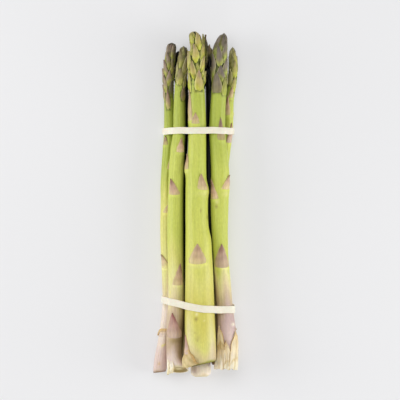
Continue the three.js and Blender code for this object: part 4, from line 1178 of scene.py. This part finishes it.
def band_loop(band, spear_points):
    """Even stations round the spears where a band crosses them."""
    outline = []
    for points in spear_points:
        x, y, z = points.T
        near = np.abs(y - band["over"](x)) < band["width"] * 0.8
        near |= np.abs(y - band["under"](x)) < band["width"] * 0.8
        outline.append(points[near][:, [0, 2]])
    hull = convex_hull(np.concatenate(outline))
    arc = np.linspace(0, 2 * math.pi, BAND_ARC_STEPS, endpoint=False)
    ring = np.stack([np.cos(arc), np.sin(arc)], axis=-1) * BAND_CLEAR
    wide = convex_hull((hull[:, None, :] + ring[None, :, :]).reshape(-1, 2))
    closed = np.concatenate([wide, wide[:1]])
    lengths = np.linalg.norm(np.diff(closed, axis=0), axis=1)
    passed = np.concatenate([[0], np.cumsum(lengths)])
    targets = np.linspace(0, passed[-1], BAND_STATIONS, endpoint=False)
    return np.stack([np.interp(targets, passed, closed[:, k]) for k in range(2)], axis=-1)


def band_section(width):
    """The cross section of a band, with rounded corners: [sideways, depth] from its inner face."""
    section = []
    for side, depth, start in ((1, BAND_EDGE, -90), (1, BAND_THICK - BAND_EDGE, 0),
                               (-1, BAND_THICK - BAND_EDGE, 90), (-1, BAND_EDGE, 180)):
        for step in range(4):
            angle = math.radians(start + 30 * step)
            sideways = side * (width / 2 - BAND_EDGE) + BAND_EDGE * math.cos(angle)
            section.append((sideways, depth + BAND_EDGE * math.sin(angle)))
    return section


def make_band(band, spear_points, look):
    """A flat band, swept round the spears."""
    loop = band_loop(band, spear_points)
    ahead = np.roll(loop, -1, axis=0) - np.roll(loop, 1, axis=0)
    ahead /= np.linalg.norm(ahead, axis=1)[:, None]
    outward = np.stack([ahead[:, 1], -ahead[:, 0]], axis=-1)
    low, high = loop[:, 1].min(), loop[:, 1].max()
    on_top = smoothstep(low + 0.2 * (high - low), low + 0.8 * (high - low), loop[:, 1])
    middle = band["under"](loop[:, 0]) * (1 - on_top) + band["over"](loop[:, 0]) * on_top
    travelled = np.arange(len(loop)) / len(loop) * 2 * math.pi
    sway = BAND_SWAYS[0] * np.sin(5 * travelled) + BAND_SWAYS[1] * np.sin(11 * travelled + 1)
    rings = []
    section = band_section(band["width"])
    for sideways, depth in section:
        across = loop + outward * depth
        rings.append(np.stack([across[:, 0], middle + sideways + sway, across[:, 1]], axis=-1))
    points = np.stack(rings, axis=1)
    points[..., 2] = np.maximum(points[..., 2], FLOOR_CLEAR)
    faces = grid_faces(len(loop), len(section), closed_ring=True)[:, ::-1]
    growth = Growth()
    growth.add(points, faces, np.full(points.shape, BAND_PIGMENT), BAND_DRYNESS)
    piece = make_piece(band["name"] + "_fine", growth, look)
    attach(piece, "root")
    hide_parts(band["name"])


def make_camera():
    """Straight above the bundle, as the photograph looks at it."""
    camera = bpy.data.cameras.new("camera")
    camera.lens = CAMERA_LENS
    camera.sensor_width = CAMERA_SENSOR
    holder = bpy.data.objects.new("camera", camera)
    span = PHOTO_SIDE * MM_PER_PIXEL * MM
    middle = PHOTO_SIDE / 2
    holder.location = (
        (middle - BUNDLE_PIXEL[0]) * MM_PER_PIXEL * MM,
        (BUNDLE_PIXEL[1] - middle) * MM_PER_PIXEL * MM,
        span * CAMERA_LENS / CAMERA_SENSOR + SCALE_HEIGHT * MM,
    )
    bpy.context.scene.collection.objects.link(holder)
    bpy.context.scene.camera = holder


def make_light(name, place, size, power):
    light = bpy.data.lights.new(name, "AREA")
    light.shape = "DISK"
    light.size = size
    light.energy = power
    holder = bpy.data.objects.new(name, light)
    holder.location = place
    holder.rotation_euler = Vector(place).to_track_quat("Z", "Y").to_euler()
    holder.visible_camera = False
    bpy.context.scene.collection.objects.link(holder)


def make_studio():
    """A pale, faintly lit floor, soft light from both sides and a little from above."""
    world = bpy.data.worlds.new("studio")
    world.use_nodes = True
    background = world.node_tree.nodes["Background"]
    background.inputs["Color"].default_value = (1.0, 1.0, 1.0, 1.0)
    background.inputs["Strength"].default_value = SKY_STRENGTH
    bpy.context.scene.world = world
    for light in LIGHTS:
        make_light(*light)
    bpy.context.scene.view_settings.view_transform = "Standard"
    bpy.ops.mesh.primitive_plane_add(size=FLOOR_SIZE)
    floor = bpy.context.active_object
    floor.name = "floor"
    nodes = Nodes("pale_floor")
    place = nodes.new("ShaderNodeTexCoord").outputs["Object"]
    cloud = nodes.noise(place, (1.0, 1.0, 1.0), 3.0, 2.0)
    grey, pale = tuple(linear(PALETTE["floor"])), tuple(linear(PALETTE["pale_floor"]))
    nodes.dress(
        Base_Color=nodes.mix("MIX", cloud, grey, pale),
        Emission_Color=(1.0, 1.0, 1.0),
        Emission_Strength=FLOOR_GLOW,
        Roughness=0.9,
    )
    floor.data.materials.append(nodes.material)


def main():
    make_camera()
    make_studio()
    draw = SeededDraw(SEED)
    skin = spear_material()
    spear_points = [make_spear(spear, i, draw, skin) for i, spear in enumerate(SPEARS)]
    rubber = rubber_material()
    for band in BANDS:
        make_band(band, spear_points, rubber)


main()
